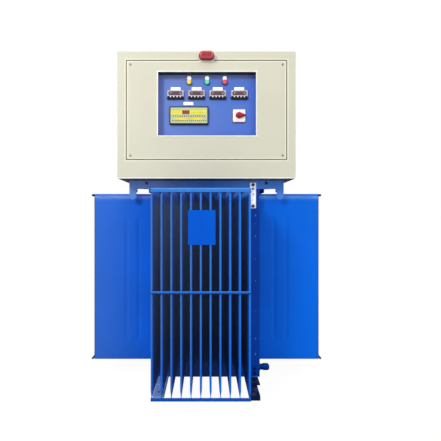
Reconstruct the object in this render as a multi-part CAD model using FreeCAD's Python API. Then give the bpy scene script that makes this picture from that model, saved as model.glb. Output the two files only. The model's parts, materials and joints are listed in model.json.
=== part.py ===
import FreeCAD, Part
import math
import os

# Oil-cooled servo voltage stabiliser. Millimetres.
# The origin is on the floor under the middle of the tank. +X is to the right
# as seen from the control panel, -Y is the side of the panel, +Z is up.

Vector = FreeCAD.Vector

small_round_sides = 16          # flats that stand for a round part without a running fit
large_round_sides = 24
end_flat_count = 8              # flats of a half-round end
corner_flat_count = 3

# ---------------------------------------------------------------- skid
rail_width = 58.0
rail_height = 25.0
rail_plate = 5.0
rail_inset = 57.0               # tank wall to the middle of a rail
rail_overhang = 185.0           # rail beyond the tank wall, at each end
anchor_inset = 42.0             # end of the rail to the floor bolt hole
anchor_hole_diameter = 15.0
cross_member_width = 60.0
cross_member_inset = 92.0       # tank wall to the cross member's near side
pad_width = 80.0
pad_inset = 11.0                # side of the tank to the pad
pad_overhang = 80.0             # pad beyond the tank wall
pad_inboard = 80.0              # pad under the tank
pad_thickness = 8.0

# ---------------------------------------------------------------- tank
tank_width = 640.0
tank_depth = 772.0
tank_height = 1157.0
tank_wall = 4.0
tank_floor_thickness = 6.0
rim_width = 27.0                # flange outside the side walls
rim_thickness = 6.0
rim_lip_height = 50.0
rim_lip_thickness = 5.0
inner_flange_width = 36.0       # flange inside the front and back walls
gasket_thickness = 4.0
cover_thickness = 6.0
cover_bolt_across_flats = 18.0
cover_bolt_head = 8.0
side_bolt_count = 6
end_bolt_count = 4
side_bolt_margin = 56.0         # end of the cover to the first bolt
end_bolt_margin = 45.0

# ---------------------------------------------------------------- fins
fin_rise = 84.0                 # underside of the tank to the foot of the fins
fin_drop = 54.0                 # rim of the tank to the top of the fins
fin_corner_margin = 40.0        # least room from a corner of the tank to the first fin
fin_gauge_margin = 34.5         # least room from the oil gauge to the nearest fin
fin_thickness = 10.0
fin_pitch = 47.8
fin_edge_flat = 4.0             # flat left between the two folds of the free edge
fin_seam_thickness = 3.0
fin_taper_height = 33.0         # pressed together at the foot and the head
end_fin_depth = 361.0           # front and back banks
side_fin_depth = 372.5
flute_distances = (96.0, 172.0)  # from the tank wall to the middle of a flute
flute_width = 40.0
flute_depth = 2.0
flute_bottom_margin = 112.0
flute_top_margin = 130.0

tie_bar_height = 20.0
lower_bar_height = 16.0
tie_bar_thickness = 5.0
tie_bar_rise = 2.0              # top bar above the fins
tie_rod_diameter = 14.0
middle_rod_offset = 5.0         # above the middle of the fins
side_rod_margin = 8.5           # end of the fins to the middle of a side rod
side_rod_projection = 6.0       # side rod beyond the outer fins

fin_plate_width = 133.0
fin_plate_height = 168.0
fin_plate_thickness = 3.0
fin_plate_drop = 190.0          # top of the fins to the plate's middle
fin_plate_offset = 5.0          # from the middle of the bank

# ---------------------------------------------------------------- wing beams
beam_inset = 39.5               # side of the cabinet to the end of a wing
beam_height = 50.0
beam_thickness = 6.0
beam_clearance = 12.0           # tank cover to the underside of the cabinet
wing_leg_width = 42.0
wing_leg_drop = 63.0
wing_corner_radius = 12.0
wing_hole_gap = 11.0            # tank rim to the middle of the hole
wing_hole_drop = 14.0           # top of the beam to the hole
wing_hole_diameter = 19.0
wing_seat_gap = 23.0            # tank rim to the seat of the cabinet
wing_seat_depth = 35.0
wing_return_depth = 30.0

# ---------------------------------------------------------------- tank fittings
gauge_inset = 43.5              # side of the tank to the middle of the gauge
gauge_width = 35.0
gauge_height = 152.0
gauge_depth = 16.0
gauge_top_drop = 14.0           # top of the beam to the top of the gauge
gauge_bolt_spacing = 127.0
gauge_bolt_diameter = 16.0
gauge_bolt_head = 7.0
gauge_window_width = 15.0
gauge_window_height = 96.0
gauge_glass_width = 14.6
gauge_pad_height = 40.0
drain_inset = 60.0              # front of the tank to the middle of the outlet
drain_rise = 32.0               # underside of the tank to the middle of the outlet
drain_collar_diameter = 54.0
drain_collar_length = 9.0
drain_pipe_diameter = 34.0
drain_pipe_wall = 3.5
drain_pipe_length = 55.0
drain_cap_diameter = 41.0
drain_cap_length = 40.0
drain_cap_dome = 14.0
drain_cap_gap = 20.0            # collar to the cap
earth_bolt_inset = 29.5         # side of the tank to the bolts
earth_bolt_rise = 24.0          # underside of the tank to the lower bolt
earth_bolt_spacing = 24.0
earth_bolt_diameter = 13.0
earth_bolt_head = 7.0
earth_washer_diameter = 18.0
earth_washer_thickness = 2.0
filler_inset = 85.0             # side of the tank to the middle of the neck
filler_edge_gap = 43.0          # edge of the cover to the cap
filler_neck_diameter = 48.0
filler_neck_wall = 3.0
filler_neck_height = 50.0
filler_cap_diameter = 62.0
filler_cap_height = 24.0
filler_cap_plate = 4.0
filler_cap_fit = 0.3
board_x = 60.0
board_inset = 137.0             # back of the cabinet to the middle of the board
board_width = 380.0
board_depth = 70.0
board_thickness = 14.0
board_opening_gap = 10.0        # cabinet floor opening round the board
support_bar_depth = 40.0        # bar on the cover under the back of the cabinet
support_bar_inset = 17.0        # back of the cabinet to the bar
support_bar_margin = 15.0       # side of the tank to the end of the bar
stud_count = 7
stud_spacing = 52.0
stud_across_flats = 17.0
stud_height = 45.0

# ---------------------------------------------------------------- cabinet
cabinet_width = 1005.0
cabinet_overhang = 117.0        # front of the tank to the face of the cabinet
cabinet_setback = 139.0         # back of the tank to the back of the cabinet
cabinet_height = 716.0
cabinet_sheet = 2.0
cabinet_floor_sheet = 3.0
frame_sheet = 2.5
cover_side_margin = 52.5        # side of the cabinet to the edge of the front cover
cover_top_margin = 52.0
cover_rise = 109.0              # underside of the cabinet to the cover's lower edge
cover_sheet = 2.5
cover_gap = 4.0                 # joint round the cover
cover_seat = 20.0               # seat behind the cover's edge
screw_inset = 21.0
screw_across_flats = 10.0
screw_head = 3.5
window_side_margin = 174.0      # edge of the cover to the window
window_offset = 3.0             # middle of the window to the right of the cover's
window_top_margin = 64.0
window_rise = 133.0             # cover's lower edge to the window's
window_lip_width = 6.0
window_lip_height = 2.5
louvre_pitch = 36.0
louvre_height = 16.0
louvre_depth = 8.0
louvre_slot = 9.0
louvre_skin = 1.5
back_louvre_width = 300.0
back_louvre_spacing = 360.0
back_louvre_rows = 7
vent_width = 420.0
vent_height = 250.0
vent_thickness = 2.0
vent_louvre_width = 340.0
vent_rows = 5
vent_rise = 340.0               # underside of the cabinet to the vent's middle
gland_plate_width = 420.0
gland_plate_height = 76.0
gland_plate_thickness = 3.0

# ---------------------------------------------------------------- instrument panel
panel_recess = 42.5             # cover's back face to the panel's front face
panel_sheet = 2.0
panel_margin = 6.0              # tray wall outside the window
panel_flange = 12.0
meter_positions = (-181.6, -60.6, 61.5, 186.0)  # from the middle of the window
meter_drop = 112.0              # top of the window to the middle of the meters
meter_width = 96.0
meter_height = 48.0
meter_bezel = 12.0
meter_body_width = 91.0
meter_body_height = 44.0
meter_body_depth = 78.0
meter_cutout_clearance = 0.5
meter_window_width = 84.0
meter_window_height = 25.0
meter_window_rise = 5.5
meter_window_recess = 1.5
meter_window_thickness = 1.2
meter_key_size = 5.5
meter_key_pitch = 20.0
meter_key_drop = 15.5
meter_key_height = 0.8
lamp_positions = (-103.0, 0.0, 102.0)
lamp_drop = 41.0
lamp_bezel_diameter = 30.0
lamp_bezel_height = 7.0
lamp_lens_diameter = 24.0
lamp_lens_height = 12.0
lamp_lens_dome = 5.0
lamp_body_diameter = 22.0
lamp_body_depth = 40.0
lamp_hole_clearance = 0.3
tag_width = 56.0
tag_height = 17.0
tag_thickness = 1.2
meter_tag_gap = 3.0             # meter to the plate over it
controller_tag_gap = 13.0
controller_tag_offset = -4.0    # from the middle of the controller
round_tag_diameter = 27.0
round_tag_rise = 27.3
round_tag_clearance = 0.3
controller_offset = -104.0      # from the middle of the window
controller_drop = 234.5
controller_width = 222.0
controller_height = 103.0
controller_bezel = 14.0
controller_body_width = 208.0
controller_body_height = 92.0
controller_body_depth = 90.0
controller_rim = 5.0
controller_face_recess = 1.5
controller_face_thickness = 1.0
selector_offset = 184.5
selector_drop = 234.0
selector_plate_size = 72.0
selector_plate_thickness = 10.0
selector_plate_radius = 4.0
selector_hub_diameter = 34.0
selector_handle_gap = 0.4
selector_handle_height = 20.0
selector_nose_reach = 39.0
selector_nose_width = 5.0
selector_shaft_diameter = 8.0
selector_body_size = 58.0
selector_body_depth = 62.0
running_clearance = 0.05

beacon_drop = 32.0              # top of the cabinet to the beacon's middle
beacon_base_width = 104.0
beacon_base_height = 50.0
beacon_base_thickness = 7.0
beacon_lens_width = 86.0
beacon_lens_height = 46.0
beacon_lens_depth = 36.0
beacon_lens_rounding = 11.0

# ---------------------------------------------------------------- regulator in the tank
variac_inset = 216.0            # front of the tank to the shaft of the regulators
variac_first_level = 130.0      # tank floor to the lowest regulator plate
variac_level_pitch = 250.0
variac_levels = 3
stack_post_spacing = 312.0
stack_post_size = 16.0
stack_bar_width = 50.0
stack_bar_thickness = 8.0
stack_bar_spacing = 190.0
bearing_bar_width = 60.0
core_outer_diameter = 290.0
core_inner_diameter = 200.0
core_height = 80.0
winding_thickness = 18.0
winding_fit = 0.5
shaft_diameter = 24.0
arm_hub_diameter = 56.0
arm_hub_height = 30.0
arm_width = 34.0
arm_thickness = 8.0
brush_width = 14.0
brush_length = 36.0
brush_height = 20.0
brush_gap = 0.3
shaft_boss_diameter = 60.0
shaft_boss_height = 8.0
shaft_below_plate = 20.0

gear_module = 5.0
driven_teeth = 43
pinion_teeth = 12
gear_thickness = 16.0
gear_lift = 20.0                # cabinet floor to the gear
gear_backlash = 0.5
gear_hub_diameter = 60.0
gear_hub_height = 14.0
floor_shaft_hole_diameter = 76.0
pinion_extra = 4.0              # pinion face wider than the gear's
motor_shaft_diameter = 12.0
motor_shaft_insertion = 25.0
motor_diameter = 92.0
motor_height = 120.0
motor_bridge_length = 90.0
motor_bridge_width = 136.0
motor_bridge_plate = 6.0
motor_bridge_clearance = 14.0   # pinion to the bridge

series_inset = 196.0            # back of the tank to the middle of the transformer
series_limb = 84.0
series_pitch = 178.0
series_window_height = 250.0
series_stack = 84.0
series_foot_height = 26.0
series_foot_depth = 130.0
series_foot_width = 60.0
coil_inner_diameter = 122.0
coil_outer_diameter = 170.0
coil_end_gap = 8.0

# ---------------------------------------------------------------- places that follow
tank_bottom = rail_height + pad_thickness
tank_top = tank_bottom + tank_height
tank_inside_floor = tank_bottom + tank_floor_thickness
gasket_top = tank_top + gasket_thickness
cover_top = gasket_top + cover_thickness
half_tank_width = tank_width / 2
half_tank_depth = tank_depth / 2
rail_spacing = tank_width - 2 * rail_inset
rim_outside = half_tank_width + rim_width

cabinet_bottom = cover_top + beam_clearance
cabinet_top = cabinet_bottom + cabinet_height
floor_top = cabinet_bottom + cabinet_floor_sheet
half_cabinet_width = cabinet_width / 2
front_y = -half_tank_depth - cabinet_overhang
back_y = half_tank_depth - cabinet_setback
cabinet_middle_y = (front_y + back_y) / 2

gauge_x = half_tank_width - gauge_inset
first_front_fin = fin_corner_margin - half_tank_width
last_front_fin = gauge_x - gauge_width / 2 - fin_gauge_margin
front_bank_offset = (first_front_fin + last_front_fin) / 2
front_fin_count = int((last_front_fin - first_front_fin) / fin_pitch) + 1
back_fin_count = int((tank_width - 2 * fin_corner_margin) / fin_pitch) + 1
side_fin_count = int((tank_depth - 2 * fin_corner_margin) / fin_pitch) + 1
fin_bottom = tank_bottom + fin_rise
fin_top = tank_top - fin_drop
middle_rod_height = (fin_bottom + fin_top) / 2 + middle_rod_offset

beam_reach = half_cabinet_width - beam_inset
beam_bottom = cabinet_bottom - beam_height
beam_front = half_tank_depth + beam_thickness
drain_y = drain_inset - half_tank_depth
drain_z = tank_bottom + drain_rise
earth_bolt_x = half_tank_width - earth_bolt_inset
filler_x = filler_inset - half_tank_width
filler_y = half_tank_depth - filler_edge_gap - filler_cap_diameter / 2
board_y = back_y - board_inset
support_bar_y = back_y - support_bar_inset - support_bar_depth / 2

front_cover_width = cabinet_width - 2 * cover_side_margin
front_cover_height = cabinet_height - cover_rise - cover_top_margin
cover_low = cabinet_bottom + cover_rise
cover_middle = cover_low + front_cover_height / 2
cover_back = front_y + cover_sheet
window_x = window_offset
window_width = front_cover_width - 2 * window_side_margin
window_height = front_cover_height - window_rise - window_top_margin
window_top = cover_low + window_rise + window_height
window_middle = window_top - window_height / 2
panel_front = cover_back + panel_recess
panel_back = panel_front + panel_sheet
meter_places = [window_x + place for place in meter_positions]
meter_z = window_top - meter_drop
lamp_places = [window_x + place for place in lamp_positions]
lamp_z = window_top - lamp_drop
controller_x = window_x + controller_offset
controller_z = window_top - controller_drop
selector_x = window_x + selector_offset
selector_z = window_top - selector_drop

variac_y = variac_inset - half_tank_depth
series_y = half_tank_depth - series_inset
gear_bottom = floor_top + gear_lift
centre_distance = gear_module * (driven_teeth + pinion_teeth) / 2
motor_bridge_top = gear_bottom + gear_thickness + pinion_extra / 2 + motor_bridge_clearance


# ---------------------------------------------------------------- small helpers
def about(middle, size):
    """The two ends of a length centred on a place."""
    return (middle - size / 2, middle + size / 2)


def block(x, y, z):
    """A box between two ends along each axis."""
    return Part.makeBox(x[1] - x[0], y[1] - y[0], z[1] - z[0], Vector(x[0], y[0], z[0]))


def cylinder(diameter, start, direction, length):
    return Part.makeCylinder(diameter / 2, length, Vector(*start), Vector(*direction))


def prism(points, direction):
    """A closed outline of points, extruded."""
    corners = [Vector(*point) for point in points]
    return Part.Face(Part.makePolygon(corners + corners[:1])).extrude(Vector(*direction))


def rounding(centre, radius, first, last, flats):
    """Points along a round stretch, between two angles in degrees, ends included."""
    angles = [math.radians(first + (last - first) * step / flats) for step in range(flats + 1)]
    return [(centre[0] + radius * math.cos(angle), centre[1] + radius * math.sin(angle))
            for angle in angles]


def upright(outline, y, depth):
    """An outline of (x, z) points, extruded along Y from y."""
    return prism([(x, y, z) for x, z in outline], (0, depth, 0))


def facet(points):
    return Part.Face(Part.makePolygon(points + points[:1]))


def flat_sided(sides, diameter, centre, axis, length, top_diameter=None):
    """A bar with this many flats inside a diameter, which may narrow to another one."""
    axis = Vector(*axis)
    across = Vector(0, 0, 1) if abs(axis.z) < 0.5 else Vector(1, 0, 0)
    other = axis.cross(across)

    def ring(size, along):
        points = []
        for corner in range(sides):
            angle = 2 * math.pi * (corner + 0.5) / sides
            point = across * math.cos(angle) + other * math.sin(angle)
            points.append(Vector(*centre) + axis * along + point * (size / 2))
        return points

    low = ring(diameter, 0)
    if top_diameter is None:
        return facet(low).extrude(axis * length)
    high = ring(top_diameter, length)
    flats = [facet([low[number - 1], low[number], high[number], high[number - 1]])
             for number in range(sides)]
    return Part.makeSolid(Part.makeShell(flats + [facet(low), facet(high)]))


def hexagon(across_flats, centre, axis, length):
    return flat_sided(6, across_flats * 2 / math.sqrt(3), centre, axis, length)


def stadium(width, height, x, z):
    """An outline with round ends left and right."""
    radius = height / 2
    reach = width / 2 - radius
    return (rounding((x + reach, z), radius, -90, 90, end_flat_count)
            + rounding((x - reach, z), radius, 90, 270, end_flat_count))


def cut_cornered(width, height, x, z, y, length):
    """A bar with its four corners cut off, from y to y plus length."""
    cut = height * 0.35
    half = width / 2
    rise = height / 2
    outline = [(-half, cut - rise), (cut - half, -rise), (half - cut, -rise), (half, cut - rise),
               (half, rise - cut), (half - cut, rise), (cut - half, rise), (-half, rise - cut)]
    return upright([(x + across, z + up) for across, up in outline], y, length)


def moved(shape, x=0.0, y=0.0, z=0.0):
    copy = shape.copy()
    copy.translate(Vector(x, y, z))
    return copy


def flipped(shape, x=0, y=0, place=0):
    """The mirror image across the plane with this normal that cuts Y at a place."""
    return shape.mirror(Vector(0, place, 0), Vector(x, y, 0))


def spread(count, span):
    """Places of a row of things centred on zero."""
    if count == 1:
        return [0.0]
    return [-span / 2 + span * number / (count - 1) for number in range(count)]


def save(node, *solids):
    shape = solids[0] if len(solids) == 1 else Part.makeCompound(list(solids))
    shape.exportStep("parts/" + node + ".step")


# ---------------------------------------------------------------- skid
def channel(width, length, middle_x, start_y):
    """A folded rail, open downwards, along Y."""
    outer = block(about(middle_x, width), (start_y, start_y + length), (0, rail_height))
    hollow = block(about(middle_x, width - 2 * rail_plate), (start_y, start_y + length),
                   (0, rail_height - rail_plate))
    return outer.cut(hollow)


def skid():
    rail_end = half_tank_depth + rail_overhang
    rails = []
    for side in (-1, 1):
        rail = channel(rail_width, 2 * rail_end, side * rail_spacing / 2, -rail_end)
        for end in (-1, 1):
            closed = sorted((end * rail_end, end * (rail_end - rail_plate)))
            rail = rail.fuse(block(about(side * rail_spacing / 2, rail_width), closed, (0, rail_height)))
        rail = rail.removeSplitter()
        for end in (-1, 1):
            hole = (side * rail_spacing / 2, end * (rail_end - anchor_inset), 0)
            rail = rail.cut(cylinder(anchor_hole_diameter, hole, (0, 0, 1), rail_height))
        rails.append(rail)
    save("skid_rails", *rails)

    length = rail_spacing - rail_width
    turned_member = channel(cross_member_width, length, 0, -length / 2)
    turned_member.rotate(Vector(0, 0, 0), Vector(0, 0, 1), 90)
    place = half_tank_depth - cross_member_inset - cross_member_width / 2
    save("skid_cross_members", moved(turned_member, y=-place), moved(turned_member, y=place))

    pads = []
    for side in (-1, 1):
        for end in (-1, 1):
            x = about(side * (half_tank_width - pad_inset - pad_width / 2), pad_width)
            y = sorted((end * (half_tank_depth + pad_overhang), end * (half_tank_depth - pad_inboard)))
            pads.append(block(x, y, (rail_height, tank_bottom)))
    save("foot_pads", *pads)


# ---------------------------------------------------------------- tank
def tank_shell():
    outer = block(about(0, tank_width), about(0, tank_depth), (tank_bottom, tank_top))
    inner = block(about(0, tank_width - 2 * tank_wall), about(0, tank_depth - 2 * tank_wall),
                  (tank_inside_floor, tank_top))
    shell = outer.cut(inner)
    lower_bolt = cabinet_bottom - gauge_top_drop - gauge_height / 2 - gauge_bolt_spacing / 2
    pad = block(about(gauge_x, gauge_width), (-beam_front, -half_tank_depth),
                about(lower_bolt, gauge_pad_height))
    shell = shell.fuse(pad)
    bore = drain_pipe_diameter - 2 * drain_pipe_wall
    outlet = cylinder(bore, (half_tank_width - 2 * tank_wall, drain_y, drain_z), (1, 0, 0), 3 * tank_wall)
    save("tank_shell", shell.cut(outlet).removeSplitter())


def tank_rim():
    """Angles outside the side walls and flat flanges inside the end walls."""
    pieces = []
    for side in (-1, 1):
        flange = block(sorted((side * half_tank_width, side * rim_outside)), about(0, tank_depth),
                       (tank_top - rim_thickness, tank_top))
        lip = block(sorted((side * (rim_outside - rim_lip_thickness), side * rim_outside)),
                    about(0, tank_depth), (tank_top - rim_lip_height, tank_top))
        pieces.append(flange.fuse(lip).removeSplitter())
    inside = half_tank_depth - tank_wall
    for end in (-1, 1):
        y = sorted((end * inside, end * (inside - inner_flange_width)))
        pieces.append(block(about(0, tank_width - 2 * tank_wall), y, (tank_top - rim_thickness, tank_top)))
    save("tank_rim", *pieces)


def tank_cover():
    width = tank_width + 2 * rim_width
    ring = block(about(0, width), about(0, tank_depth), (tank_top, gasket_top))
    mouth = block(about(0, tank_width - 2 * tank_wall),
                  about(0, tank_depth - 2 * tank_wall - 2 * inner_flange_width), (tank_top, gasket_top))
    save("cover_gasket", ring.cut(mouth))

    plate = block(about(0, width), about(0, tank_depth), (gasket_top, cover_top))
    boss = flat_sided(large_round_sides, shaft_boss_diameter, (0, variac_y, cover_top), (0, 0, 1),
                      shaft_boss_height)
    neck = flat_sided(small_round_sides, filler_neck_diameter, (filler_x, filler_y, cover_top), (0, 0, 1),
                      filler_neck_height)
    bar = block(about(0, tank_width - 2 * support_bar_margin), about(support_bar_y, support_bar_depth),
                (cover_top, cabinet_bottom))
    plate = plate.fuse([boss, neck, bar])
    shaft_bore = cylinder(shaft_diameter + 2 * running_clearance, (0, variac_y, gasket_top), (0, 0, 1),
                          cover_thickness + shaft_boss_height)
    filler_bore = flat_sided(small_round_sides, filler_neck_diameter - 2 * filler_neck_wall,
                             (filler_x, filler_y, gasket_top), (0, 0, 1),
                             cover_thickness + filler_neck_height)
    save("tank_cover", plate.cut([shaft_bore, filler_bore]).removeSplitter())

    places = []
    side_places = spread(side_bolt_count, tank_depth - 2 * side_bolt_margin)
    end_places = spread(end_bolt_count, tank_width - 2 * end_bolt_margin)
    for side in (-1, 1):
        across = side * (rim_outside - rim_width / 2 - rim_lip_thickness / 2)
        places += [(across, along) for along in side_places]
    for end in (-1, 1):
        along = end * (half_tank_depth - tank_wall - inner_flange_width / 2)
        places += [(across, along) for across in end_places]
    heads = [hexagon(cover_bolt_across_flats, (x, y, cover_top), (0, 0, 1), cover_bolt_head)
             for x, y in places]
    save("cover_bolts", *heads)


def filler_cap():
    """A screw cap over the neck, resting on the neck's rim."""
    rim = cover_top + filler_neck_height
    bottom = rim + filler_cap_plate - filler_cap_height
    cap = flat_sided(small_round_sides, filler_cap_diameter, (filler_x, filler_y, bottom), (0, 0, 1),
                     filler_cap_height)
    hollow = flat_sided(small_round_sides, filler_neck_diameter + 2 * filler_cap_fit,
                        (filler_x, filler_y, bottom), (0, 0, 1), filler_cap_height - filler_cap_plate)
    save("filler_cap", cap.cut(hollow))


def terminal_board():
    """An insulating board on the tank cover with the studs of the winding leads."""
    board = block(about(board_x, board_width), about(board_y, board_depth),
                  (cover_top, cover_top + board_thickness))
    save("terminal_board", board)
    studs = [hexagon(stud_across_flats, (board_x + place, board_y, cover_top + board_thickness), (0, 0, 1),
                     stud_height) for place in spread(stud_count, stud_spacing * (stud_count - 1))]
    save("terminal_studs", *studs)


# ---------------------------------------------------------------- cooling fins
def flute(distance, side):
    """The pocket of one pressed flute, cut into one face of a fin."""
    half = flute_width / 2
    corner = half * 0.6
    low = flute_bottom_margin
    high = fin_top - fin_bottom - flute_top_margin
    outline = [(-half, low + corner), (-half + corner, low), (half - corner, low), (half, low + corner),
               (half, high - corner), (half - corner, high), (-half + corner, high), (-half, high - corner)]
    face = side * fin_thickness / 2
    points = [(face, -distance + along, height) for along, height in outline]
    return prism(points, (-side * flute_depth, 0, 0))


def fin(depth):
    """A welded box fin with its root at y 0, its folded edge at -depth and its foot at z 0."""
    height = fin_top - fin_bottom
    half = fin_thickness / 2
    fold = half - fin_edge_flat / 2
    plan = [(half, 0), (-half, 0), (-half, fold - depth), (fold - half, -depth), (half - fold, -depth),
            (half, fold - depth)]
    body = prism([(across, along, 0) for across, along in plan], (0, 0, height))
    seam = fin_seam_thickness / 2
    right = [(seam, 0), (half, fin_taper_height), (half, height - fin_taper_height), (seam, height)]
    left = [(-across, up) for across, up in reversed(right)]
    pinched = prism([(across, -depth, up) for across, up in right + left], (0, depth, 0))
    return body.common(pinched)


def outer_fin(depth, side):
    """The last fin of a bank, with its pressed flutes on the face that is open to view."""
    return fin(depth).cut([flute(distance, side) for distance in flute_distances])


def bank(depth, count, offset):
    """A row of fins on the front wall, before it is turned to its own wall."""
    row = [outer_fin(depth, -1)] + [fin(depth)] * (count - 2) + [outer_fin(depth, 1)]
    places = spread(count, fin_pitch * (count - 1))
    return [moved(one, x=offset + place, z=fin_bottom) for one, place in zip(row, places)]


def fins():
    front = bank(end_fin_depth, front_fin_count, front_bank_offset)
    save("front_fins", *[moved(one, y=-half_tank_depth) for one in front])
    back = bank(end_fin_depth, back_fin_count, 0)
    for one in back:
        one.rotate(Vector(0, 0, 0), Vector(0, 0, 1), 180)
    save("back_fins", *[moved(one, y=half_tank_depth) for one in back])
    for node, angle, side in (("left_fins", -90, -1), ("right_fins", 90, 1)):
        row = bank(side_fin_depth, side_fin_count, 0)
        for one in row:
            one.rotate(Vector(0, 0, 0), Vector(0, 0, 1), angle)
        save(node, *[moved(one, x=side * half_tank_width) for one in row])


def tie_bars():
    """Flat bars and rods welded across the free edges of the fins."""
    pieces = []
    edge = half_tank_depth + end_fin_depth
    for end, count, offset in ((-1, front_fin_count, front_bank_offset), (1, back_fin_count, 0)):
        length = fin_pitch * (count - 1) + fin_thickness
        x = about(offset, length)
        outside = sorted((end * edge, end * (edge + tie_bar_thickness)))
        inside = sorted((end * edge, end * (edge - tie_bar_thickness)))
        top = fin_top + tie_bar_rise
        pieces.append(block(x, outside, (top - tie_bar_height, top)))
        pieces.append(block(x, inside, (fin_bottom - lower_bar_height, fin_bottom)))
        middle = (x[0], end * (edge + tie_rod_diameter / 2), middle_rod_height)
        pieces.append(flat_sided(small_round_sides, tie_rod_diameter, middle, (1, 0, 0), length))
    reach = half_tank_width + side_fin_depth + tie_rod_diameter / 2
    length = fin_pitch * (side_fin_count - 1) + fin_thickness + 2 * side_rod_projection
    for side in (-1, 1):
        for height in (fin_bottom + side_rod_margin, fin_top - side_rod_margin):
            start = (side * reach, -length / 2, height)
            pieces.append(flat_sided(small_round_sides, tie_rod_diameter, start, (0, 1, 0), length))
    save("fin_tie_bars", *pieces)

    front = -(half_tank_depth + end_fin_depth)
    save("fin_plate", block(about(front_bank_offset + fin_plate_offset, fin_plate_width),
                            (front - fin_plate_thickness, front),
                            about(fin_top - fin_plate_drop, fin_plate_height)))


# ---------------------------------------------------------------- wing beams
def wing_beam(seated):
    """The plate across an end of the tank. The front one has seats that carry the cabinet."""
    radius = wing_leg_width / 2
    foot = beam_bottom - wing_leg_drop + radius
    inner = beam_reach - wing_leg_width
    corner = wing_corner_radius
    y = -beam_front
    half = [(0, cabinet_bottom), (0, beam_bottom)]
    half += rounding((inner - corner, beam_bottom - corner), corner, 90, 0, corner_flat_count)
    half += rounding((beam_reach - radius, foot), radius, -180, 0, end_flat_count)
    half.append((beam_reach, cabinet_bottom))
    right = upright(half, y, beam_thickness)
    beam = right.fuse(flipped(right, x=1))
    extras = []
    holes = []
    for side in (-1, 1):
        seat = sorted((side * beam_reach, side * (rim_outside + wing_seat_gap)))
        if seated:
            extras.append(block(seat, (-half_tank_depth, -half_tank_depth + wing_seat_depth),
                                (cabinet_bottom - beam_thickness, cabinet_bottom)))
        fold = sorted((side * inner, side * (inner + beam_thickness)))
        extras.append(block(fold, (-half_tank_depth, -half_tank_depth + wing_return_depth),
                            (fin_top + side_rod_margin, cabinet_bottom)))
        place = (side * (rim_outside + wing_hole_gap), y, cabinet_bottom - wing_hole_drop)
        holes.append(cylinder(wing_hole_diameter, place, (0, 1, 0), beam_thickness))
    return beam.fuse(extras).cut(holes).removeSplitter()


def wing_beams():
    save("wing_beams", wing_beam(True), flipped(wing_beam(False), y=1))


# ---------------------------------------------------------------- tank fittings
def oil_gauge():
    top = cabinet_bottom - gauge_top_drop
    middle = top - gauge_height / 2
    front = -beam_front - gauge_depth
    body = block(about(gauge_x, gauge_width), (front, -beam_front), about(middle, gauge_height))
    window = block(about(gauge_x, gauge_window_width), (front, front + gauge_depth / 2),
                   about(middle, gauge_window_height))
    save("oil_gauge_body", body.cut(window))
    glass = block(about(gauge_x, gauge_glass_width), (front + gauge_depth / 4, front + gauge_depth / 2),
                  about(middle, gauge_window_height))
    save("oil_gauge_glass", glass)
    bolts = []
    for end in (-1, 1):
        place = (gauge_x, front, middle + end * gauge_bolt_spacing / 2)
        bolts.append(hexagon(gauge_bolt_diameter, place, (0, -1, 0), gauge_bolt_head))
    save("oil_gauge_bolts", *bolts)


def drain():
    """A threaded outlet low on the right wall, closed by a domed cap."""
    wall = half_tank_width
    sides = large_round_sides
    root = (wall, drain_y, drain_z)
    collar = flat_sided(sides, drain_collar_diameter, root, (1, 0, 0), drain_collar_length)
    pipe = flat_sided(sides, drain_pipe_diameter, root, (1, 0, 0), drain_pipe_length)
    bore = flat_sided(sides, drain_pipe_diameter - 2 * drain_pipe_wall, root, (1, 0, 0), drain_pipe_length)
    save("drain_pipe", collar.fuse(pipe).cut(bore).removeSplitter())

    start = (wall + drain_collar_length + drain_cap_gap, drain_y, drain_z)
    straight = drain_cap_length - drain_cap_dome
    shoulder = (start[0] + straight, drain_y, drain_z)
    cap = flat_sided(sides, drain_cap_diameter, start, (1, 0, 0), straight)
    middle = (shoulder[0] + drain_cap_dome / 2, drain_y, drain_z)
    cap = cap.fuse(flat_sided(sides, drain_cap_diameter, shoulder, (1, 0, 0), drain_cap_dome / 2,
                              drain_cap_diameter * 0.84))
    cap = cap.fuse(flat_sided(sides, drain_cap_diameter * 0.84, middle, (1, 0, 0), drain_cap_dome / 2,
                              drain_cap_diameter * 0.42))
    hollow = flat_sided(sides, drain_pipe_diameter, start, (1, 0, 0), wall + drain_pipe_length - start[0])
    save("drain_cap", cap.cut(hollow).removeSplitter())


def earth_bolts():
    bolts = []
    for step in range(2):
        height = tank_bottom + earth_bolt_rise + step * earth_bolt_spacing
        place = (earth_bolt_x, -half_tank_depth, height)
        washer = flat_sided(small_round_sides, earth_washer_diameter, place, (0, -1, 0),
                            earth_washer_thickness)
        head = (earth_bolt_x, -half_tank_depth - earth_washer_thickness, height)
        bolts.append(washer.fuse(hexagon(earth_bolt_diameter, head, (0, -1, 0), earth_bolt_head)))
    save("earth_bolts", *bolts)


# ---------------------------------------------------------------- cabinet
def cabinet_shell():
    depth = (front_y + frame_sheet, back_y - frame_sheet)
    outer = block(about(0, cabinet_width), depth, (cabinet_bottom, cabinet_top))
    inner = block(about(0, cabinet_width - 2 * cabinet_sheet), depth,
                  (cabinet_bottom, cabinet_top - cabinet_sheet))
    save("cabinet_wrap", outer.cut(inner))

    floor = block(about(0, cabinet_width - 2 * cabinet_sheet), depth, (cabinet_bottom, floor_top))
    shaft = flat_sided(large_round_sides, floor_shaft_hole_diameter, (0, variac_y, cabinet_bottom),
                       (0, 0, 1), cabinet_floor_sheet)
    leads = block(about(board_x, board_width + 2 * board_opening_gap),
                  about(board_y, board_depth + 2 * board_opening_gap), (cabinet_bottom, floor_top))
    save("cabinet_floor", floor.cut([shaft, leads]))


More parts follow.
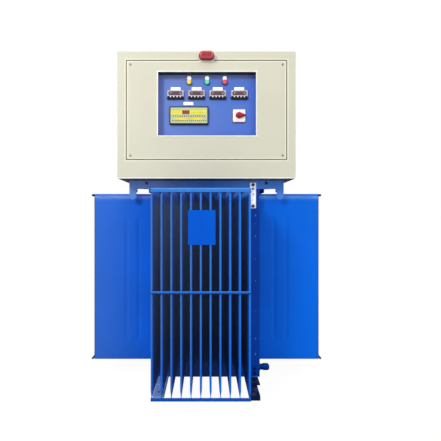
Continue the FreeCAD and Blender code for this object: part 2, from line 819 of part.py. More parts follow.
def cover_frame():
    """The face of the cabinet, with a rebate that takes a screwed cover flush."""
    y = front_y
    sheet = (y, y + frame_sheet)
    plate = block(about(0, cabinet_width), sheet, (cabinet_bottom, cabinet_top))
    opening = block(about(0, front_cover_width + 2 * cover_gap), sheet,
                    about(cover_middle, front_cover_height + 2 * cover_gap))
    seat = block(about(0, front_cover_width + 2 * cover_seat), (y + frame_sheet, y + 2 * frame_sheet),
                 about(cover_middle, front_cover_height + 2 * cover_seat))
    mouth = block(about(0, front_cover_width - 2 * cover_seat), (y, y + 2 * frame_sheet),
                  about(cover_middle, front_cover_height - 2 * cover_seat))
    return plate.cut(opening).fuse(seat).cut(mouth).removeSplitter()


def louvre(width):
    """A pressed louvre on a panel whose outer face is y 0, facing -Y, with its slot below."""
    lip = louvre_height - louvre_slot
    outer = [(0, 0, louvre_height), (0, -louvre_depth, louvre_slot / 2), (0, -louvre_depth, 0), (0, 0, 0)]
    hood = prism(outer, (width, 0, 0))
    inner = [(0, 0, lip + louvre_slot - 2 * louvre_skin), (0, louvre_skin - louvre_depth, 0), (0, 0, 0)]
    hollow = moved(prism(inner, (width - 2 * louvre_skin, 0, 0)), x=louvre_skin)
    return moved(hood.cut(hollow), x=-width / 2, z=-louvre_height / 2)


def louvred(plate, face_y, sheet, width, columns, rows, middle_z):
    """Add rows of louvres to a plate, with the slots behind them cut through it."""
    hoods = []
    slots = []
    for x in columns:
        for z in spread(rows, louvre_pitch * (rows - 1)):
            hoods.append(moved(louvre(width), x=x, y=face_y, z=middle_z + z))
            low = middle_z + z - louvre_height / 2
            slots.append(block(about(x, width - 2 * louvre_skin), (face_y, face_y + sheet),
                               (low, low + louvre_slot)))
    return plate.cut(slots).fuse(hoods)


def cover_plate():
    return block(about(0, front_cover_width), (front_y, front_y + cover_sheet),
                 about(cover_middle, front_cover_height))


def front_cover():
    y = front_y
    lip = block(about(window_x, window_width + 2 * window_lip_width), (y - window_lip_height, y),
                about(window_middle, window_height + 2 * window_lip_width))
    window = block(about(window_x, window_width), (y - window_lip_height, y + cover_sheet),
                   about(window_middle, window_height))
    save("front_cover", cover_plate().fuse(lip).cut(window).removeSplitter())


def back_cover():
    columns = about(0, back_louvre_spacing)
    plate = louvred(cover_plate(), front_y, cover_sheet, back_louvre_width, columns, back_louvre_rows,
                    cover_middle)
    save("back_cover", flipped(plate, y=1, place=cabinet_middle_y))


def cover_screws():
    heads = []
    for end, y in ((-1, front_y), (1, back_y)):
        for side in (-1, 1):
            for level in (-1, 1):
                place = (side * (front_cover_width / 2 - screw_inset), y,
                         cover_middle + level * (front_cover_height / 2 - screw_inset))
                heads.append(hexagon(screw_across_flats, place, (0, end, 0), screw_head))
    save("cover_screws", *heads)


def side_vents():
    """Louvred plates screwed over the vent openings of the two sides."""
    middle = cabinet_bottom + vent_rise
    plate = block(about(0, vent_width), (0, vent_thickness), about(0, vent_height))
    plate = louvred(plate, 0, vent_thickness, vent_louvre_width, (0,), vent_rows, 0)
    left = plate.copy()
    left.rotate(Vector(0, 0, 0), Vector(0, 0, 1), -90)
    left = moved(left, x=-half_cabinet_width - vent_thickness, y=cabinet_middle_y, z=middle)
    save("side_vents", left, flipped(left, x=1))


def gland_plate():
    middle = cabinet_bottom + cover_rise / 2
    save("gland_plate", block(about(0, gland_plate_width),
                              (back_y, back_y + gland_plate_thickness),
                              about(middle, gland_plate_height)))


def cabinet():
    cabinet_shell()
    frame = cover_frame()
    save("cabinet_front_frame", frame)
    save("cabinet_back_frame", flipped(frame, y=1, place=cabinet_middle_y))
    front_cover()
    back_cover()
    cover_screws()
    side_vents()
    gland_plate()


# ---------------------------------------------------------------- instrument panel
def instrument_panel():
    """A tray behind the window, flanged to the back of the cover."""
    width = window_width + 2 * panel_margin
    height = window_height + 2 * panel_margin
    outer = block(about(window_x, width), (cover_back, panel_back), about(window_middle, height))
    hollow = block(about(window_x, width - 2 * panel_sheet), (cover_back, panel_front),
                   about(window_middle, height - 2 * panel_sheet))
    flange = block(about(window_x, width + 2 * panel_flange), (cover_back, cover_back + panel_sheet),
                   about(window_middle, height + 2 * panel_flange))
    tray = outer.fuse(flange).cut(hollow)
    cuts = []
    depth = (panel_front, panel_back)
    for x in meter_places:
        cuts.append(block(about(x, meter_body_width + 2 * meter_cutout_clearance), depth,
                          about(meter_z, meter_body_height + 2 * meter_cutout_clearance)))
    for x in lamp_places:
        cuts.append(flat_sided(small_round_sides, lamp_body_diameter + 2 * lamp_hole_clearance,
                               (x, panel_front, lamp_z), (0, 1, 0), panel_sheet))
    cuts.append(block(about(controller_x, controller_body_width + 2 * meter_cutout_clearance), depth,
                      about(controller_z, controller_body_height + 2 * meter_cutout_clearance)))
    cuts.append(flat_sided(small_round_sides, 2 * selector_shaft_diameter,
                           (selector_x, panel_front, selector_z), (0, 1, 0), panel_sheet))
    save("instrument_panel", tray.cut(cuts).removeSplitter())


def meters():
    front = panel_front - meter_bezel
    window_z = meter_z + meter_window_rise
    housings = []
    windows = []
    for x in meter_places:
        bezel = block(about(x, meter_width), (front, panel_front), about(meter_z, meter_height))
        body = block(about(x, meter_body_width), (panel_front, panel_front + meter_body_depth),
                     about(meter_z, meter_body_height))
        recess = cut_cornered(meter_window_width, meter_window_height, x, window_z, front,
                              2 * meter_window_recess)
        keys = [block(about(x + place, meter_key_size), (front - meter_key_height, front),
                      about(meter_z - meter_key_drop, meter_key_size))
                for place in spread(4, 3 * meter_key_pitch)]
        housings.append(bezel.fuse([body] + keys).cut(recess).removeSplitter())
        windows.append(cut_cornered(meter_window_width - 2 * meter_cutout_clearance,
                                    meter_window_height - 2 * meter_cutout_clearance, x, window_z,
                                    front + 2 * meter_window_recess - meter_window_thickness,
                                    meter_window_thickness))
    save("meter_housings", *housings)
    save("meter_windows", *windows)


def pilot_lamps():
    bezels = []
    for x in lamp_places:
        place = (x, panel_front, lamp_z)
        bezel = flat_sided(small_round_sides, lamp_bezel_diameter, place, (0, -1, 0), lamp_bezel_height)
        body = flat_sided(small_round_sides, lamp_body_diameter, place, (0, 1, 0), lamp_body_depth)
        bezels.append(bezel.fuse(body).removeSplitter())
    save("lamp_bezels", *bezels)

    straight = lamp_lens_height - lamp_lens_dome
    for node, x in zip(("lens_yellow", "lens_green", "lens_red"), lamp_places):
        seat = panel_front - lamp_bezel_height
        lens = flat_sided(large_round_sides, lamp_lens_diameter, (x, seat, lamp_z), (0, -1, 0), straight)
        dome = flat_sided(large_round_sides, lamp_lens_diameter, (x, seat - straight, lamp_z), (0, -1, 0),
                          lamp_lens_dome, lamp_lens_diameter * 0.6)
        save(node, lens.fuse(dome).removeSplitter())


def panel_tags():
    back = (panel_front - tag_thickness, panel_front)
    over_meters = meter_z + (meter_height + tag_height) / 2 + meter_tag_gap
    tags = [block(about(x, tag_width), back, about(over_meters, tag_height)) for x in meter_places]
    over_controller = controller_z + (controller_height + tag_height) / 2 + controller_tag_gap
    tags.append(block(about(controller_x + controller_tag_offset, tag_width), back,
                      about(over_controller, tag_height)))
    for x in lamp_places:
        disc = flat_sided(small_round_sides, round_tag_diameter, (x, panel_front, lamp_z + round_tag_rise),
                          (0, -1, 0), tag_thickness)
        room = flat_sided(small_round_sides, lamp_bezel_diameter + 2 * round_tag_clearance,
                          (x, panel_front, lamp_z), (0, -1, 0), tag_thickness)
        tags.append(disc.cut(room))
    save("panel_tags", *tags)


def controller():
    front = panel_front - controller_bezel
    bezel = block(about(controller_x, controller_width), (front, panel_front),
                  about(controller_z, controller_height))
    body = block(about(controller_x, controller_body_width),
                 (panel_front, panel_front + controller_body_depth),
                 about(controller_z, controller_body_height))
    face_width = controller_width - 2 * controller_rim
    face_height = controller_height - 2 * controller_rim
    seat = front + controller_face_recess + controller_face_thickness
    recess = block(about(controller_x, face_width), (front, seat), about(controller_z, face_height))
    save("controller_housing", bezel.fuse(body).cut(recess).removeSplitter())
    face = block(about(controller_x, face_width), (front + controller_face_recess, seat),
                 about(controller_z, face_height))
    save("controller_face", face)


def selector():
    """A cam switch: plate in front of the panel, body behind it and a pointed handle."""
    front = panel_front - selector_plate_thickness
    plate = block(about(selector_x, selector_plate_size), (front, panel_front),
                  about(selector_z, selector_plate_size))
    corners = [edge for edge in plate.Edges if abs(edge.Vertexes[0].Y - edge.Vertexes[-1].Y) > 1]
    plate = plate.makeChamfer(selector_plate_radius, corners)
    bore_diameter = selector_shaft_diameter + 2 * running_clearance
    bore = cylinder(bore_diameter, (selector_x, front, selector_z), (0, 1, 0), selector_plate_thickness)
    save("selector_plate", plate.cut(bore))

    body = block(about(selector_x, selector_body_size), (panel_back, panel_back + selector_body_depth),
                 about(selector_z, selector_body_size))
    bore = cylinder(bore_diameter, (selector_x, panel_back, selector_z), (0, 1, 0), selector_body_depth / 2)
    save("selector_body", body.cut(bore))

    hub = selector_hub_diameter / 2
    back = front - selector_handle_gap
    tip = selector_nose_reach
    nose = selector_nose_width / 2
    angle = math.degrees(math.asin((hub - nose) / (tip - nose)))
    x, z = selector_x, selector_z
    outline = rounding((x + tip - nose, z), nose, angle - 90, 90 - angle, corner_flat_count)
    outline += rounding((x, z), hub, 90 - angle, 270 + angle, large_round_sides)
    grip = upright(outline, back, -selector_handle_height)
    shaft = cylinder(selector_shaft_diameter, (x, back, z), (0, 1, 0),
                     panel_back - back + selector_body_depth / 2 - selector_handle_gap)
    save("selector_handle", grip.fuse(shaft).removeSplitter())


def beacon():
    z = cabinet_top - beacon_drop
    y = front_y
    base = stadium(beacon_base_width, beacon_base_height, 0, z)
    save("beacon_base", upright(base, y, -beacon_base_thickness))
    start = y - beacon_base_thickness
    lens = upright(stadium(beacon_lens_width, beacon_lens_height, 0, z), start, -beacon_lens_depth)
    end = start - beacon_lens_depth
    rim = [edge for edge in lens.Edges if all(abs(vertex.Y - end) < 0.01 for vertex in edge.Vertexes)]
    save("beacon_lens", lens.makeChamfer(beacon_lens_rounding, rim))


def instruments():
    instrument_panel()
    meters()
    pilot_lamps()
    panel_tags()
    controller()
    selector()
    beacon()


# ---------------------------------------------------------------- regulator in the tank
def variac_level(number):
    """Top face of a regulator's carrier plate."""
    return tank_inside_floor + variac_first_level + number * variac_level_pitch


def stack_frame():
    """Four posts, bars under each regulator and over the last, and a bearing bar at the bottom."""
    half = stack_post_spacing / 2
    length = stack_post_spacing + stack_post_size
    top = variac_level(variac_levels)
    pieces = []
    for x in (-half, half):
        for y in (-half, half):
            pieces.append(block(about(x, stack_post_size), about(variac_y + y, stack_post_size),
                                (tank_inside_floor, top)))
    for number in range(variac_levels + 1):
        bar_top = variac_level(number)
        height = (bar_top - stack_bar_thickness, bar_top)
        for side in (-1, 1):
            x = side * (half + stack_post_size / 2 - stack_bar_width / 2)
            pieces.append(block(about(x, stack_bar_width), about(variac_y, length), height))
            y = variac_y + side * stack_bar_spacing / 2
            pieces.append(block(about(0, length), about(y, stack_bar_width), height))
    pieces.append(block(about(0, bearing_bar_width), about(variac_y, stack_bar_spacing),
                        (variac_level(0) - stack_bar_thickness, variac_level(0))))
    shaft_bore = cylinder(shaft_diameter + 2 * running_clearance, (0, variac_y, tank_inside_floor),
                          (0, 0, 1), tank_height)
    return pieces[0].fuse(pieces[1:]).cut(shaft_bore).removeSplitter()


def variac_stack():
    """Three toroidal autotransformers on one shaft, one for each phase."""
    save("variac_frame", stack_frame())
    cores = []
    windings = []
    sides = small_round_sides
    up = (0, 0, 1)
    for number in range(variac_levels):
        base = (0, variac_y, variac_level(number))
        ring = flat_sided(sides, core_outer_diameter, base, up, core_height)
        cores.append(ring.cut(flat_sided(sides, core_inner_diameter, base, up, core_height)))
        tall = core_height + winding_fit + winding_thickness
        fit = 2 * winding_fit
        outer = flat_sided(sides, core_outer_diameter + fit + 2 * winding_thickness, base, up, tall)
        hole = flat_sided(sides, core_inner_diameter - fit - 2 * winding_thickness, base, up, tall)
        room = flat_sided(sides, core_outer_diameter + fit, base, up, core_height + winding_fit)
        post = flat_sided(sides, core_inner_diameter - fit, base, up, core_height + winding_fit)
        windings.append(outer.cut(hole).cut(room.cut(post)))
    save("variac_cores", *cores)
    save("variac_windings", *windings)


def brush_gear():
    """The shaft, its three arms and the carbon brushes that ride on the windings."""
    shaft_bottom = variac_level(0) - stack_bar_thickness - shaft_below_plate
    shaft_top = gear_bottom + gear_thickness + gear_hub_height
    save("brush_shaft", cylinder(shaft_diameter, (0, variac_y, shaft_bottom), (0, 0, 1),
                                 shaft_top - shaft_bottom))
    track = (core_outer_diameter + core_inner_diameter) / 4
    arms = []
    brushes = []
    for number in range(variac_levels):
        face = variac_level(number) + core_height + winding_fit + winding_thickness + brush_gap
        arm_low = face + brush_height
        hub = flat_sided(6, arm_hub_diameter, (0, variac_y, arm_low), (0, 0, 1), arm_hub_height)
        reach = track + brush_width
        bar = block(about(0, arm_width), (variac_y - reach, variac_y), (arm_low, arm_low + arm_thickness))
        bore = flat_sided(small_round_sides, shaft_diameter / math.cos(math.pi / small_round_sides),
                          (0, variac_y, arm_low), (0, 0, 1), arm_hub_height)
        arms.append(hub.fuse(bar).cut(bore).removeSplitter())
        brushes.append(block(about(0, brush_width), about(variac_y - track, brush_length),
                             (face, face + brush_height)))
    save("brush_arms", *arms)
    save("carbon_brushes", *brushes)


def involute(angle):
    return math.tan(angle) - angle


def toothed_wheel(teeth, centre, low, thickness, first_tooth):
    """A spur wheel with 20 degree teeth; first_tooth is the direction of one tooth."""
    pitch_radius = gear_module * teeth / 2
    pressure = math.radians(20)
    base_radius = pitch_radius * math.cos(pressure)
    tip_radius = pitch_radius + gear_module
    root_radius = pitch_radius - 1.25 * gear_module
    half_pitch = math.pi / (2 * teeth) - gear_backlash / (4 * pitch_radius)

    def half_angle(radius):
        if radius <= base_radius:
            return half_pitch + involute(pressure)
        return half_pitch + involute(pressure) - involute(math.acos(base_radius / radius))

    flank = [root_radius, tip_radius]
    if base_radius > root_radius:
        flank = [root_radius, base_radius, tip_radius]
    points = []
    for number in range(teeth):
        middle = first_tooth + 2 * math.pi * number / teeth
        side = [(radius, middle - half_angle(radius)) for radius in flank]
        side += [(radius, middle + half_angle(radius)) for radius in reversed(flank)]
        points += [(centre[0] + radius * math.cos(angle), centre[1] + radius * math.sin(angle), low)
                   for radius, angle in side]
    return prism(points, (0, 0, thickness))


def gear_drive():
    """The motor's pinion and the gear on the brush shaft, in mesh at rest."""
    axis = (0, variac_y)
    wheel = toothed_wheel(driven_teeth, axis, gear_bottom, gear_thickness, math.pi / driven_teeth)
    hub_low = gear_bottom + gear_thickness
    wheel = wheel.fuse(flat_sided(large_round_sides, gear_hub_diameter, (0, variac_y, hub_low), (0, 0, 1),
                                  gear_hub_height))
    bore = cylinder(shaft_diameter, (0, variac_y, gear_bottom), (0, 0, 1), gear_thickness + gear_hub_height)
    save("driven_gear", wheel.cut(bore))

    low = gear_bottom - pinion_extra / 2
    face = gear_thickness + pinion_extra
    pinion = toothed_wheel(pinion_teeth, (centre_distance, variac_y), low, face, math.pi)
    shaft_length = motor_bridge_top + motor_bridge_plate - low + motor_shaft_insertion - running_clearance
    shaft = cylinder(motor_shaft_diameter, (centre_distance, variac_y, low), (0, 0, 1), shaft_length)
    save("motor_pinion", pinion.fuse(shaft).removeSplitter())


def servo_motor():
    """The motor stands on a bridge over the pinion, with its shaft downwards."""
    bore_diameter = motor_shaft_diameter + 2 * running_clearance
    top = motor_bridge_top + motor_bridge_plate
    body = flat_sided(large_round_sides, motor_diameter, (centre_distance, variac_y, top), (0, 0, 1),
                      motor_height)
    bore = cylinder(bore_diameter, (centre_distance, variac_y, top), (0, 0, 1), motor_shaft_insertion)
    save("servo_motor", body.cut(bore))

    x = about(centre_distance + gear_module, motor_bridge_length)
    outer = block(x, about(variac_y, motor_bridge_width), (floor_top, top))
    under = block(x, about(variac_y, motor_bridge_width - 2 * motor_bridge_plate),
                  (floor_top, motor_bridge_top))
    hole = flat_sided(small_round_sides, 2 * motor_shaft_diameter,
                      (centre_distance, variac_y, motor_bridge_top), (0, 0, 1), motor_bridge_plate)
    save("motor_bridge", outer.cut(under).cut(hole))


def series_transformer():
    """The three-limb transformer that adds the regulators' voltage to the line."""
    low = tank_inside_floor + series_foot_height
    width = 2 * series_pitch + series_limb
    height = series_window_height + 2 * series_limb
    core = block(about(0, width), about(series_y, series_stack), (low, low + height))
    opening = series_pitch - series_limb
    windows = [block(about(side * series_pitch / 2, opening), about(series_y, series_stack),
                     (low + series_limb, low + series_limb + series_window_height)) for side in (-1, 1)]
    feet = [block(about(side * (width / 2 - series_foot_width / 2), series_foot_width),
                  about(series_y, series_foot_depth), (tank_inside_floor, low)) for side in (-1, 1)]
    save("series_core", core.cut(windows).fuse(feet).removeSplitter())

    coils = []
    for number in (-1, 0, 1):
        start = (number * series_pitch, series_y, low + series_limb + coil_end_gap)
        length = series_window_height - 2 * coil_end_gap
        outer = flat_sided(small_round_sides, coil_outer_diameter, start, (0, 0, 1), length)
        inner = flat_sided(small_round_sides, coil_inner_diameter, start, (0, 0, 1), length)
        coils.append(outer.cut(inner))
    save("series_coils", *coils)


def regulator():
    variac_stack()
    brush_gear()
    gear_drive()
    servo_motor()
    series_transformer()


# ---------------------------------------------------------------- the whole product
def main():
    os.makedirs("parts", exist_ok=True)
    skid()
    tank_shell()
    tank_rim()
    tank_cover()
    filler_cap()
    terminal_board()
    fins()
    tie_bars()
    wing_beams()
    oil_gauge()
    drain()
    earth_bolts()
    cabinet()
    instruments()
    regulator()


main()
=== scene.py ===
import json
import math
import bmesh
import bpy
from mathutils import Matrix, Vector

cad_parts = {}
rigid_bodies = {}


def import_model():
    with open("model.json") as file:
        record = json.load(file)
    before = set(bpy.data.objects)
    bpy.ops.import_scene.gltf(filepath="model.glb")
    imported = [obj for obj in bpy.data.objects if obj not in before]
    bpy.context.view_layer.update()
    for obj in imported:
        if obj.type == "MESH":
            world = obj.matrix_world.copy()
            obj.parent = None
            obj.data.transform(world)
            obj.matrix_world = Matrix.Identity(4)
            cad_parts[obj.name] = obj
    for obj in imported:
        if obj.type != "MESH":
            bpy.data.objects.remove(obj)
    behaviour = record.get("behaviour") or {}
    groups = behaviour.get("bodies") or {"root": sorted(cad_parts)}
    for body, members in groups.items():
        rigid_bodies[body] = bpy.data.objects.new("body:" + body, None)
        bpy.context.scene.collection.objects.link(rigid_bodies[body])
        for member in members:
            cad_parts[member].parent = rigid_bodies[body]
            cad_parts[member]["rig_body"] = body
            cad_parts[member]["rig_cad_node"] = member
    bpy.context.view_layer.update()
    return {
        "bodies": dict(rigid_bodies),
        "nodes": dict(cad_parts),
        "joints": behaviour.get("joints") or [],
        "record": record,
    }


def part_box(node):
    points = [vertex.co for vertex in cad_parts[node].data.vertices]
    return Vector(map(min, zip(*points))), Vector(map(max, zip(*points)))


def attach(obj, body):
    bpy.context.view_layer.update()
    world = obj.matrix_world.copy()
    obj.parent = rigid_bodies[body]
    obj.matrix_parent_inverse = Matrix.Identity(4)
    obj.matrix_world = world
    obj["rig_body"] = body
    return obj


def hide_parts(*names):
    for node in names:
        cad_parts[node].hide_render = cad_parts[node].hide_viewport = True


# Dressing of an oil-cooled servo voltage stabiliser. Metres, +Z up, the panel
# looks along -Y. Pieces are made at their own place in the row frame.

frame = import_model()
nodes = frame["nodes"]
bodies = frame["record"]["behaviour"]["bodies"]
body_of_node = {node: body for body, members in bodies.items() for node in members}
slot_of_node = {part["node"]: part["material_slot"] for part in frame["record"]["subparts"]}

UP = Vector((0, 0, 1))
RIGHT = Vector((1, 0, 0))
OUT = Vector((0, -1, 0))        # out of the control panel
MM = 0.001
SAME_POINT = 0.002 * MM         # corners of one solid are closer than this


# ---- shader maths
class Wire:
    """A value or a colour on its way through a node tree. Arithmetic adds Math nodes."""

    def __init__(self, graph, socket):
        self.graph = graph
        self.socket = socket

    def maths(self, operation, *values):
        return self.graph.make("ShaderNodeMath", {"operation": operation}, dict(enumerate(values)))

    def __add__(self, other):
        return self.maths("ADD", self, other)

    def __radd__(self, other):
        return self.maths("ADD", other, self)

    def __sub__(self, other):
        return self.maths("SUBTRACT", self, other)

    def __rsub__(self, other):
        return self.maths("SUBTRACT", other, self)

    def __mul__(self, other):
        return self.maths("MULTIPLY", self, other)

    def __abs__(self):
        return self.maths("ABSOLUTE", self)

    def wave(self):
        return self.maths("SINE", self)

    def step(self, start, end):
        """0 below start, 1 above end and smooth between them."""
        inputs = {0: self, 1: start, 2: end, 3: 0.0, 4: 1.0}
        return self.graph.make("ShaderNodeMapRange", {"interpolation_type": "SMOOTHSTEP"}, inputs)

    def larger(self, other):
        return self.maths("MAXIMUM", self, other)


class Graph:
    """The nodes of a material or of the world."""

    def __init__(self, owner):
        owner.use_nodes = True
        self.tree = owner.node_tree

    def make(self, kind, settings=None, inputs=None, output=0):
        """Add a node, give it its settings, then its inputs, and return one output."""
        node = self.tree.nodes.new(kind)
        for words, value in (settings or {}).items():
            setattr(node, words, value)
        for where, value in (inputs or {}).items():
            if isinstance(value, Wire):
                self.tree.links.new(value.socket, node.inputs[where])
            else:
                node.inputs[where].default_value = value
        return Wire(self, node.outputs[output])

    def ray(self, kind):
        return self.make("ShaderNodeLightPath", output="Is %s Ray" % kind)


class Finish(Graph):
    """A material with one surface shader and the tone that is built up for it."""

    def __init__(self, name, **constants):
        self.material = bpy.data.materials.new(name)
        super().__init__(self.material)
        self.surface = self.tree.nodes["Principled BSDF"]
        self.tone = None
        for words, value in constants.items():
            self.surface.inputs[words.replace("_", " ")].default_value = value

    def feed(self, **wires):
        """Wire inputs of the surface shader, and return the material."""
        for words, wire in wires.items():
            self.tree.links.new(wire.socket, self.surface.inputs[words.replace("_", " ")])
        return self.material

    def coat(self, roughness, height, depth, strength=0.35):
        """Feed the tone, the roughness and a texture of a depth in millimetres."""
        texture = {"Height": height, "Distance": depth * MM, "Strength": strength}
        return self.feed(Base_Color=self.tone, Roughness=roughness,
                         Normal=self.make("ShaderNodeBump", inputs=texture))

    def along(self, axis):
        """Where a point is on the product along X, Y or Z."""
        here = self.make("ShaderNodeTexCoord", output="Object")
        return self.make("ShaderNodeSeparateXYZ", inputs={0: here}, output=axis)

    def facing_up(self):
        normal = self.make("ShaderNodeNewGeometry", output="Normal")
        return self.make("ShaderNodeSeparateXYZ", inputs={0: normal}, output="Z")

    def noise(self, scale, detail=3.0, stretch=(1, 1, 1)):
        here = self.make("ShaderNodeTexCoord", output="Object")
        place = self.make("ShaderNodeMapping", inputs={"Vector": here, "Scale": stretch})
        inputs = {"Vector": place, "Scale": scale, "Detail": detail}
        return self.make("ShaderNodeTexNoise", inputs=inputs)

    def mixed(self, amount, first, second):
        """From the first colour to the second; a triple is a screen colour."""
        inputs = {0: amount, 6: screen(first), 7: screen(second)}
        return self.make("ShaderNodeMix", {"data_type": "RGBA"}, inputs, output=2)

    def cover(self, amount, shade):
        """Lay a colour over the tone."""
        self.tone = self.mixed(amount, self.tone, shade)


def screen(shade):
    """A screen colour, 0 to 255, as the shader wants it; anything else stays as it is."""
    if not isinstance(shade, tuple) or len(shade) != 3:
        return shade

    def linear(part):
        return part / 12.92 if part <= 0.04045 else ((part + 0.055) / 1.055) ** 2.4

    return (*(linear(part / 255) for part in shade), 1.0)


def scaled(shade, factor):
    return tuple(min(1.0, part * factor) for part in shade[:3]) + (1.0,)


# ---- finishes
def enamel(name, shade, roughness=0.3, gloss=0.16, dust=0.12, lit_top=None, hook=None):
    """Sprayed gloss enamel: slow changes of tone, orange peel and a little dust on ledges.

    The tone given for faces that look up is a painted highlight. hook changes the tone by place and
    may return a glow, which is painted light.
    """
    finish = Finish(name, Specular_IOR_Level=gloss)
    cloud = finish.noise(2.6, 4.0).step(0.3, 0.7)
    finish.tone = finish.mixed(cloud, scaled(shade, 0.92), scaled(shade, 1.07))
    streak = finish.noise(9.0, 3.0, (1, 1, 0.15)).step(0.52, 0.8)
    finish.cover(streak * 0.2, scaled(shade, 0.8))
    # painted highlight: faces that look up are made paler
    if lit_top:
        finish.cover(finish.facing_up().step(0.2, 0.6) * 0.8, lit_top)
    # a hook may return a painted glow
    glow = hook(finish) if hook else None
    settled = finish.facing_up().step(0.8, 0.99) * finish.noise(24.0, 4.0).step(0.35, 0.75) * dust
    finish.cover(settled, (150, 156, 166))
    peel = finish.noise(420.0, 2.0) + finish.noise(95.0, 2.0) * 0.6
    change = roughness + finish.noise(14.0, 3.0).step(0.35, 0.75) * 0.14 + settled * 0.4
    if glow:
        finish.surface.inputs["Emission Strength"].default_value = 1.0
        finish.feed(Emission_Color=glow)
    return finish.coat(change, peel, 0.25, 0.3)


def powder_coat(name, shade, gloss, underside_shade, hook):
    """Semi-gloss powder coat on sheet steel, with a fine texture.

    The tone given for undersides is painted shade on faces that look down, and hook changes the
    tone by place.
    """
    finish = Finish(name, Specular_IOR_Level=gloss)
    cloud = finish.noise(1.8, 3.0).step(0.25, 0.75)
    finish.tone = finish.mixed(cloud, scaled(shade, 0.97), scaled(shade, 1.03))
    grime = finish.noise(6.0, 5.0, (1, 1, 0.3)).step(0.58, 0.85)
    finish.cover(grime * 0.08, scaled(shade, 0.75))
    hook(finish)
    settled = finish.facing_up().step(0.6, 0.98) * finish.noise(30.0, 4.0).step(0.4, 0.8) * 0.2
    finish.cover(settled, scaled(shade, 0.66))
    # painted shade: faces that look down are made darker
    finish.cover((0 - finish.facing_up()).step(0.6, 0.9), underside_shade)
    texture = finish.noise(700.0, 2.0) + finish.noise(160.0, 2.0) * 0.5
    return finish.coat(0.4 + finish.noise(22.0, 3.0) * 0.12 + settled * 0.3, texture, 0.15)


def bare_metal(name, shade, roughness=0.34):
    """Plated or machined metal with fine scratches and darker patches."""
    finish = Finish(name, Metallic=1.0)
    patch = finish.noise(45.0, 4.0).step(0.35, 0.75)
    finish.tone = finish.mixed(patch * 0.5, shade, scaled(shade, 0.55))
    scratch = finish.noise(260.0, 3.0, (1, 1, 0.08))
    return finish.coat(roughness + patch * 0.18 + scratch * 0.1, scratch, 0.05, 0.4)


def moulded(name, shade, roughness=0.45, grain=300.0, depth=0.06, gloss=0.35, glow=0.0):
    """Moulded plastic with a fine spark-eroded texture; a glow above 0 is painted light, as no part
    in this finish is a lamp.
    """
    finish = Finish(name, Specular_IOR_Level=gloss, Emission_Color=shade, Emission_Strength=glow)
    cloud = finish.noise(40.0, 3.0).step(0.3, 0.7)
    finish.tone = finish.mixed(cloud, scaled(shade, 0.93), scaled(shade, 1.06))
    rough = roughness + finish.noise(grain, 2.0) * 0.1
    return finish.coat(rough, finish.noise(grain * 4, 2.0), depth)


def lens_plastic(name, shade, deep, pitch=0.0, glow=0.0):
    """Translucent lamp plastic, patchy in tone, with ribs moulded inside where a pitch is given."""
    finish = Finish(name, Specular_IOR_Level=0.5, Coat_Weight=0.3, Coat_Roughness=0.08,
                    Emission_Color=shade, Emission_Strength=glow)
    cloud = finish.noise(160.0, 3.0).step(0.3, 0.75)
    finish.tone = finish.mixed(cloud * 0.6, shade, deep)
    height = finish.noise(900.0, 2.0)
    if pitch:
        rib = (finish.along("X") * (2 * math.pi / pitch)).wave()
        height = height * 0.3 + rib
        finish.cover(rib.step(-0.2, 1.0) * 0.35, deep)
    return finish.coat(0.2 + cloud * 0.08, height, 0.12)


def window_glass(name, shade, roughness=0.12, gloss=0.45):
    """A glossy window over a display."""
    finish = Finish(name, Specular_IOR_Level=gloss, Coat_Weight=0.2, Coat_Roughness=0.06)
    smear = finish.noise(120.0, 4.0, (1, 1, 0.4)).step(0.4, 0.8)
    tone = finish.mixed(smear * 0.4, shade, scaled(shade, 1.6))
    return finish.feed(Base_Color=tone, Roughness=roughness + smear * 0.12)


def wound_wire(name, shade, pitch):
    """Enamelled copper wire, laid round and round."""
    finish = Finish(name, Metallic=0.85, Coat_Weight=0.4, Coat_Roughness=0.15)
    turn = (finish.along("Z") * (2 * math.pi / pitch)).wave()
    # painted shade: the grooves between the turns are darker
    finish.tone = finish.mixed(turn.step(-1.0, 0.4), scaled(shade, 0.4), shade)
    return finish.coat(0.28 + finish.noise(90.0) * 0.12, turn, 0.6, 0.8)


# node, axis along the row, axis of the fins' depth, end of the box at the tank, turn of a fin
FIN_BANKS = (
    ("front_fins", 0, 1, 1, 0.0),
    ("back_fins", 0, 1, 0, math.pi),
    ("left_fins", 1, 0, 1, -math.pi / 2),
    ("right_fins", 1, 0, 0, math.pi / 2),
)


def between_fins(finish):
    """1 deep in the gaps between the fins of the four banks, 0 on the outer fins and free edges."""
    total = None
    for node, across, out, wall, _ in FIN_BANKS:
        low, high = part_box(node)
        row = finish.along("XYZ"[across])
        in_row = row.step(low[across] + 6 * MM, low[across] + 8 * MM)
        in_row = in_row * (1 - row.step(high[across] - 8 * MM, high[across] - 6 * MM))
        sign = 1 - 2 * wall
        root, edge = sorted((low[out] * sign, high[out] * sign))
        depth = finish.along("XYZ"[out]) * sign
        in_depth = 1 - depth.step(edge - 70 * MM, edge - 12 * MM)
        in_depth = in_depth * depth.step(root - 7 * MM, root - 6 * MM)
        head = finish.along("Z").step(high.z - 95 * MM, high.z - 8 * MM)
        here = in_row * in_depth * (1 - head * 0.72)
        total = total.larger(here) if total else here
    return total


def painted_gap_light(finish):
    """Painted shade and light deep between the fins: a darker, greyer tone and a dim blue glow,
    more at the left and high up.
    """
    deep = between_fins(finish)
    patch = 0.8 + finish.noise(7.0, 3.0, (1, 1, 0.2)) * 0.3
    height = finish.along("Z")
    # painted shade: a darker, greyer tone deep in the gaps
    finish.cover(deep * patch, finish.mixed(height.step(0.14, 0.4), (30, 66, 142), (84, 90, 112)))
    # painted light: a dim blue glow in the gaps
    gap_glow = finish.mixed(finish.along("X").step(-0.3, 0.1), (28, 35, 48), (10, 18, 34))
    level = 0.55 + height.step(0.2, 0.6) * 0.45 + height.step(0.6, 1.06) * 1.3
    inputs = {0: gap_glow, "Scale": deep * level * patch}
    return finish.make("ShaderNodeVectorMath", {"operation": "SCALE"}, inputs)


